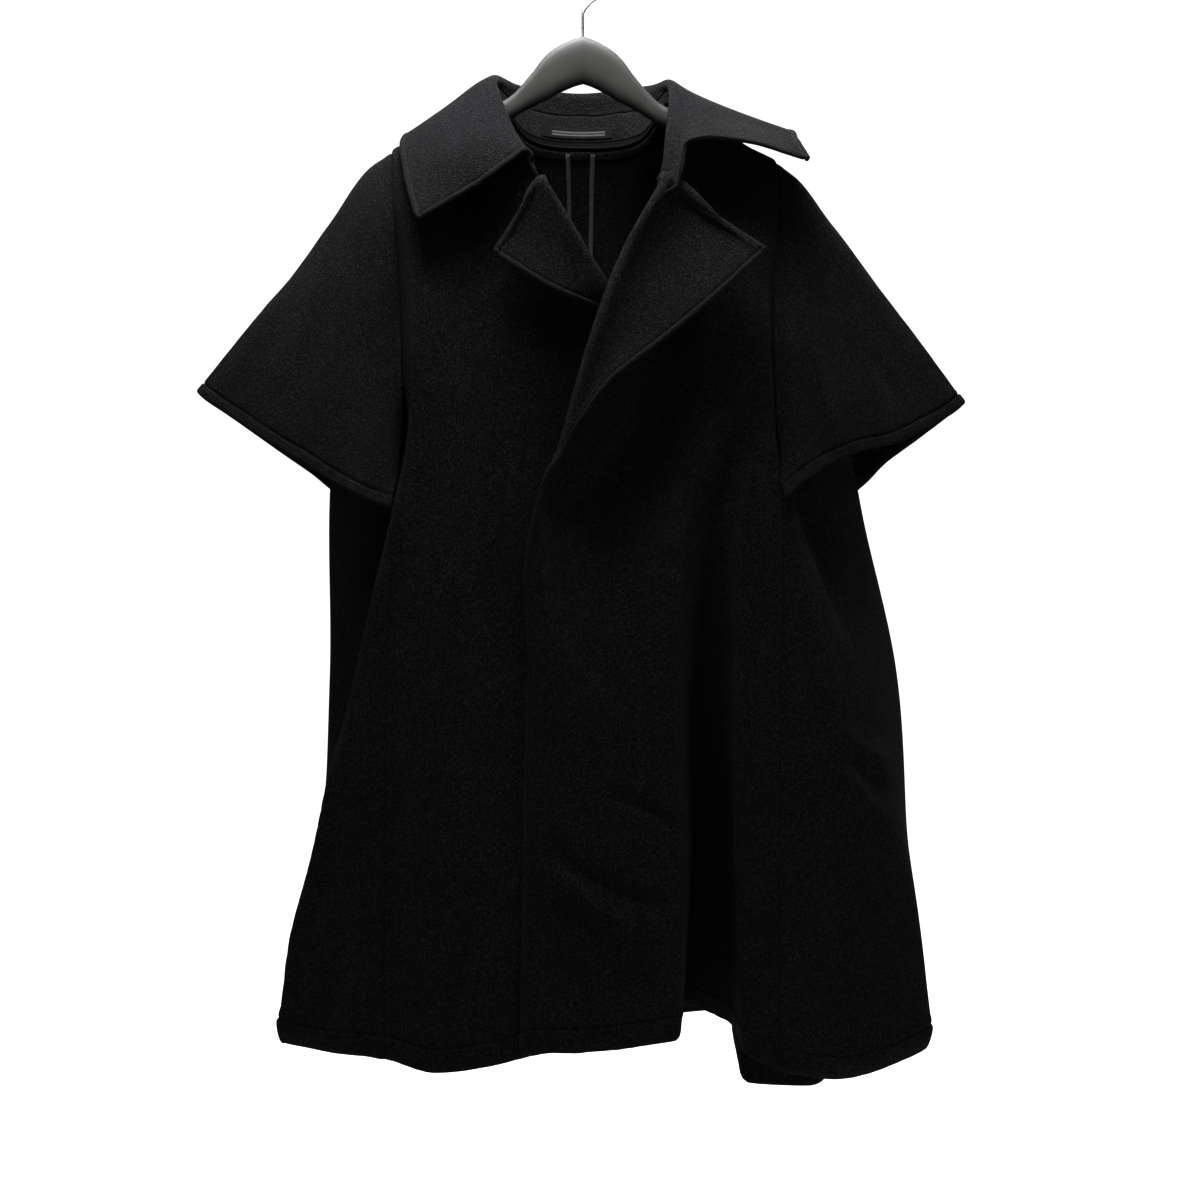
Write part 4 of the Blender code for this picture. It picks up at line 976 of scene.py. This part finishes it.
# beside is the way, in lines, from the hinge to the cloth next to it.
down = np.linspace(0.0, DOWN[-1], 520)
hem = -1 - HEM_GROOVE
for side, beside, edge, flat, area in (("left", 1 / 3, LEFT_EDGE, (0.50, 0.99), 0.294),
                                       ("right", -0.5, RIGHT_EDGE, (0.42, 0.98), 0.244)):
    panel = body_points(places(side + " hinge", side + " front seam"), down)
    before = body_points(np.array([LINE[side + " hinge"] + beside]), down)[0]
    turned = lapel(panel[0], before, down, edge)
    front, high, low, normal = cloth(
        "front_" + side, np.concatenate([turned, panel]), (RIM, SEAM, SEAM, HEM),
        slice(-60, None), top_lapel=len(turned))
    stitches = thread("front_" + side, [
        (high[RIM_GROOVE, 3:], normal[RIM_GROOVE, 3:]),
        (low[RIM_GROOVE, 3:], -normal[RIM_GROOVE, 3:]),
        (high[RIM_GROOVE:, hem], normal[RIM_GROOVE:, hem])])

# ---- sides
# Panels of the same felt from the underarm to the hem, sewn to the fronts and the
# backs.  Their top corners are tucked inside the sleeves' seams.
UNDERARM = 363.0      # distance down the armhole where the sleeve's hem starts
SIDE_TOP = 330.0      # distance down where the side panel's armhole edge lies
TUCK = 6.5
TUCK_END = 18.0       # distance below the underarm where the tuck ends
TUCK_FADE = 14.0


def tucked(grid, down):
    """A side panel's grid whose top corners lie inside the sleeve's seams.

    They move towards the body's middle plane by TUCK, times a smooth step that falls
    to nothing over TUCK_FADE, and times a share that falls nearly straight to nothing
    1.3 lines from the seam.
    """
    share = np.clip((UNDERARM + TUCK_END - down) / TUCK_FADE, 0.0, 1.0)
    inward = TUCK * share * share * (3.0 - 2.0 * share)
    near = np.minimum(np.arange(len(grid)), np.arange(len(grid))[::-1]) / CELLS * 3.0
    part = np.interp(near, (0, 1, 2, 3, 4), (1.0, 0.8, 0.5, 0.2, 0.0))
    grid[..., 1] -= np.sign(grid[..., 1]) * inward * part[:, None]
    return grid


down = np.linspace(SIDE_TOP, DOWN[-1], 330)
for side, first, last, flat, area in (("left", "front", "back", (0.42, 0.64), 0.193),
                                      ("right", "back", "front", (0.34, 0.64), 0.151)):
    across = places(f"{side} {first} seam", f"{side} {last} seam")
    panel = tucked(body_points(across, down), down)
    panel, high, low, normal = cloth("side_" + side, panel, (SEAM, SEAM, RIM, HEM),
                                     slice(40, 80))
    stitches = thread("side_" + side, [(high[:, hem], normal[:, hem])])

# ---- backs
# Two backs, joined at the centre.  The seam's allowances are pressed open inside,
# and grey satin is folded round the raw edge of each.
HAIR = 0.35           # clearance under what lies on the cloth
TAPE = 1.0
BOUND = np.array([(0, 0.1, 0.1), (0.25, 0.4, 0.3), (0.7, 0.65, 0.45), (1.3, 0.72, 0.5),
                  (1.9, 0.6, 0.5)])


def strip(name, middle, kinds, material, thickness=TAPE, cell=2.0):
    """A thin strip that lies inside the cloth, a hair clear of it.

    middle is the cloth's middle surface under it; the strip's own is that plus the
    normal towards the coat's axis times both half thicknesses and the hair.
    """
    normal = grid_normals(middle)
    normal *= -np.sign(np.sum(normal * away(name, middle)))
    grid = middle + normal * (CLOTH / 2 + HAIR + thickness / 2)
    grid, across, _ = spaced(grid, kinds, cell)
    normal = grid_normals(grid)
    normal *= -np.sign(np.sum(normal * away(name, grid)))
    half, _ = edge_walls(kinds, grid.shape[:2], thickness / 2, 0.05)
    share = np.broadcast_to((across / across[-1:])[:, :1], grid.shape[:2])
    return wall(name, grid, normal, half, material, share)[0]


def ribbed(name, dark, light, roughness, gloss):
    """Satin or ribbed ribbon: fine cross ribs with a soft gloss.

    Its tone is 0.35 of the ribs' wave and 0.65 of a cloudy noise.
    """
    material, tree, shader = finish(name, dark, roughness, Specular_IOR_Level=gloss)
    place = tree.nodes.new("ShaderNodeTexCoord")
    ribs = tree.nodes.new("ShaderNodeTexWave")
    ribs.bands_direction = "DIAGONAL"
    feed(tree, ribs, Vector=place.outputs["Object"], Scale=420.0, Distortion=0.6)
    cloud = noise(tree, 180.0, 4.0)
    tone = maths(tree, "ADD", maths(tree, "MULTIPLY", ribs.outputs["Fac"], 0.35),
                 maths(tree, "MULTIPLY", cloud, 0.65))
    feed(tree, shader, Base_Color=ramp(tree, tone, ((0.3, dark), (0.7, light))),
         Roughness=ramp(tree, cloud, ((0.3, roughness - 0.08), (0.7, roughness + 0.08))),
         Normal=bump(tree, ribs.outputs["Fac"], 0.0001))
    return material


grey_satin = ribbed("grey satin binding", (0.05, 0.0515, 0.054), (0.092, 0.094, 0.098),
                    0.45, 0.15)
for side, first, last, toward, flat, area in (
        ("left", "left back seam", "centre back", -1.0, (0.40, 0.96), 0.264),
        ("right", "centre back", "right back seam", 1.0, (0.37, 0.96), 0.243)):
    panel = body_points(places(first, last), np.linspace(0.0, DOWN[-1], 500))
    back, high, low, normal = cloth("back_" + side, panel, (SEAM, SEAM, SEAM, HEM),
                                    slice(30, 60), cell=5.5)
    stitches = thread("back_" + side, [(high[:, hem], normal[:, hem])])
    across = LINE["centre back"] + toward * np.linspace(0.18, 0.26, 14)
    middle = body_points(across, np.linspace(1.9, 900.4, 460))
    binding = strip("seam_binding_" + side, middle, (BOUND, BOUND, BOUND[:3], BOUND[:3]),
                    grey_satin, cell=4.0)

# ---- sleeves
# Cape sleeves of the same felt, one piece each, folded over the hanger's end.  They
# are sewn in at the front and back seams, open below, and narrowly hemmed.
SLEEVE_HEM = np.array([(0, 0.15, 0.15), (0.3, 0.9, 0.95), (0.9, 1.6, 1.7), (2, 2.1, 2.4),
                       (4, 2.3, 2.9), (7, 2.1, 3.0), (9.5, 2.2, 3.0), (11.1, 1.6, 2.8),
                       (12, 0.15, 2.2), (13.0, 0.7, 1.7), (14.8, 1.5, 1.35), (18, 1.3, 1.3)])
# The hems: for each place round the armhole, from the front underarm (-1) over the
# ridge (0) to the back underarm (1), its point on the hem.
LEFT_HEM = (
    (-1.00, (204, -78, -567)), (-0.80, (226, -69, -548)), (-0.60, (256, -57, -529)),
    (-0.42, (288, -48, -516)), (-0.27, (322, -38, -508)), (-0.14, (361, -24, -489)),
    (-0.05, (391, -11, -471)), (0.00, (400, 0, -463)), (0.05, (391, 11, -471)),
    (0.16, (358, 27, -497)), (0.34, (324, 43, -523)), (0.60, (305, 62, -544)),
    (0.80, (286, 88, -559)), (1.00, (250, 103, -571)),
)
RIGHT_HEM = (
    (-1.00, (-192, -79, -577)), (-0.80, (-222, -75, -566)), (-0.60, (-253, -61, -550)),
    (-0.42, (-288, -50, -528)), (-0.27, (-322, -40, -508)), (-0.14, (-364, -25, -480)),
    (-0.05, (-396, -11, -459)), (0.00, (-405, 0, -451)), (0.05, (-396, 11, -459)),
    (0.16, (-362, 28, -484)), (0.34, (-322, 44, -513)), (0.60, (-293, 62, -534)),
    (0.80, (-276, 84, -549)), (1.00, (-244, 103, -564)),
)
# How far each sleeve's ridge stands above the chord from shoulder to hem.
LEFT_BOW = ((0.0, 0.0), (0.13, 14.0), (0.30, 11.0), (0.50, 7.0), (0.75, 5.0), (1.0, 0.0))
RIGHT_BOW = ((0.0, 0.0), (0.13, 14.0), (0.30, 7.0), (0.50, -1.0), (0.75, 1.0), (1.0, 0.0))


def sleeve_grid(front_seam, back_seam, hem, ridge_bow):
    """Rows round the armhole, each a straight line from it to the hem, raised by the
    bow times exp(-(turn / 0.3)^2), where the turn is 0 at the ridge."""
    turn = np.linspace(-1.0, 1.0, 321)
    turn = np.sign(turn) * np.abs(turn) ** 1.3
    armhole = np.where((turn < 0)[:, None],
                       body_points(np.array([LINE[front_seam]]), -turn * UNDERARM)[0],
                       body_points(np.array([LINE[back_seam]]), turn * UNDERARM)[0])
    edge = smooth([row[0] for row in hem], [row[1] for row in hem], turn, monotone=True)
    out = np.linspace(0.0, 1.0, 90)
    grid = armhole[:, None] + (edge - armhole)[:, None] * out[:, None]
    bow = smooth(*np.array(ridge_bow).T, out)
    grid[:, :, 2] += np.exp(-(turn / 0.3) ** 2)[:, None] * bow
    return grid


hem = -1 - RIM_GROOVE
for side, edge, bow, area in (("left", LEFT_HEM, LEFT_BOW, 0.082),
                              ("right", RIGHT_HEM, RIGHT_BOW, 0.091)):
    grid = sleeve_grid(side + " front seam", side + " back seam", edge, bow)
    sleeve, high, low, normal = cloth("sleeve_" + side, grid, (SEAM, SEAM, SEAM, SLEEVE_HEM),
                                      slice(None), cell=3.5)
    stitches = thread("sleeve_" + side, [(high[:, hem], normal[:, hem])])

# ---- collar
# A stand sewn to the neckline, and a leaf that folds over it, with long wings whose
# edges are rolled and stitched.
COLLAR_ROLL = 6.5     # radius of the fold at the top of the collar
STAND_SHARE = 0.62    # where the stand meets the fall, from neck seam to roll
TAB_DRAWN = (0.0, -5.5, -38.0)    # how the left end is drawn down as a tab
TAB_LEAN = 6.0        # and how far its top leans in
TAB_WIDTH = 45.0      # from the collar's end
PRESSED = np.array([(0, 0.15, 0.15), (0.3, 0.6, 0.6), (0.9, 1.0, 1.0), (2, 1.3, 1.3),
                    (4, 1.3, 1.3)])


def collar_grid(station, place):
    """Points of the collar, a row for each place: 0 at the neck seam, 1 at the top of
    the stand, 3 at the roll and 7 at the outer edge.

    The table's rows are joined smoothly along the stations, and then the eight points
    across: the table's, the top, and one on each side of the roll, 0.8 of its radius
    down its own side and 0.5 in or out.
    """
    rows = np.array(list(COLLAR.values()), float)
    neck, roll, shoulder, middle, edge = np.moveaxis(
        smooth(np.arange(len(rows)), rows, station), 1, 0)
    top = neck + STAND_SHARE * (roll - neck)
    down_in = unit(neck - roll)
    down_out = unit(shoulder - roll)
    outward = unit(down_out - down_in)
    size = np.minimum(COLLAR_ROLL, 0.5 * np.linalg.norm(roll - top, axis=1))[:, None]
    inside = roll + size * (0.8 * down_in - 0.5 * outward)
    outside = roll + size * (0.8 * down_out + 0.5 * outward)
    profile = np.array([neck, top, inside, roll, outside, shoulder, middle, edge])
    return smooth(np.arange(len(profile)), profile, place)


station = np.linspace(0.0, 8.0, 420)
grid = collar_grid(station, np.linspace(0.0, 1.0, 40))
stand, *_ = cloth("collar_stand", grid, (PRESSED, PRESSED, RIM, RIM), slice(None), cell=3.0)

# The left end runs on down its roll as a tab, over the top of the lapel.
place = np.linspace(1.0, 7.0, 220)
grid = collar_grid(station, place)
roll = np.argmin(np.abs(place - 3.0))
past_roll = run_length(grid[:, -1])
past_roll -= past_roll[roll]
wide = np.interp(past_roll, (-9, 0, 17, 26), (0, 1.1, 1.05, 0))
lean = np.interp(past_roll, (-9, 0, 13), (0, 1, 0))
pull = np.clip(1.0 - run_length(grid[roll, ::-1])[::-1] / TAB_WIDTH, 0.0, 1.0) ** 2
grid += (wide[:, None] * pull)[..., None] * TAB_DRAWN
grid[..., 0] -= TAB_LEAN * lean[:, None] * pull
leaf, high, low, normal = cloth("collar_leaf", grid, (PRESSED, RIM, RIM, RIM), slice(-60, -20),
                                cell=3.0)
ends = slice(RIM_GROOVE, -RIM_GROOVE)
edges = [(face[ends, column], way * normal[ends, column])
         for face, way in ((high, 1.0), (low, -1.0)) for column in (RIM_GROOVE, hem)]
edges += [(face[hem, ends], way * normal[hem, ends]) for face, way in ((high, 1.0), (low, -1.0))]
stitches = thread("collar_leaf", edges)

# ---- neck tape
# A narrow black ribbed tape with corded edges, sewn over the neck seam inside, where
# it covers the seam's raw allowances.
CORDED = np.array([(0, 0.1, 0.1), (0.25, 0.5, 0.3), (0.7, 0.95, 0.45), (1.3, 1.1, 0.5),
                   (1.9, 0.85, 0.5), (2.4, 0.5, 0.5), (3.0, 0.5, 0.5)])
black_tape = ribbed("black neck tape", (0.0035, 0.0035, 0.004), (0.0075, 0.0075, 0.0085),
                    0.7, 0.05)
middle = collar_grid(np.linspace(8 / 28, 8 - 8 / 28, 320), np.linspace(0.056, 0.28, 24))
tape = strip("neck_tape", middle, (CORDED, CORDED, CORDED[:4], CORDED[:4]), black_tape)

# ---- neck label
# A bare black woven label with two thin pale lines woven along its middle, sewn to
# the inside of the collar stand.
LABEL_THICK = 0.7
FLAT = np.array([(0, 0.08, 0.08), (0.2, 0.25, 0.25), (0.6, 0.38, 0.35), (1.2, 0.35, 0.35)])
woven, tree, shader = finish("woven label", (0.012, 0.012, 0.013), 0.7,
                             Specular_IOR_Level=0.08)
place = tree.nodes.new("ShaderNodeAttribute")
place.attribute_name = "mark"
lines = ramp(tree, place.outputs["Fac"], (
    (0.28, 0.0), (0.31, 1.0), (0.42, 1.0), (0.45, 0.12), (0.55, 0.12), (0.58, 1.0), (0.69, 1.0),
    (0.72, 0.0)))
weave = noise(tree, 1500.0, 2.0, (1.0, 1.0, 0.6))
spot = tree.nodes.new("ShaderNodeTexCoord")
split = tree.nodes.new("ShaderNodeSeparateXYZ")
feed(tree, split, Vector=spot.outputs["Object"])
off = maths(tree, "ABSOLUTE", maths(tree, "ADD", split.outputs["X"], 0.0055))
ends = ramp(tree, maths(tree, "MULTIPLY", off, 10.0), ((0.28, 1.0), (0.292, 0.0)))
pale = maths(tree, "MULTIPLY", maths(tree, "MULTIPLY", lines, ends),
             maths(tree, "MULTIPLY", weave, 1.5))
feed(tree, shader, Normal=bump(tree, weave, 0.00012),
     Base_Color=blend(tree, pale, (0.006, 0.006, 0.0068, 1.0), (0.13, 0.127, 0.12, 1.0)))
station = np.interp((11.6, 15.8), (0, 28), (0, 8))
middle = collar_grid(np.linspace(*station, 90), np.linspace(0.321, 0.593, 24))
label = strip("neck_label", middle, (FLAT,) * 4, woven, LABEL_THICK, cell=1.2)
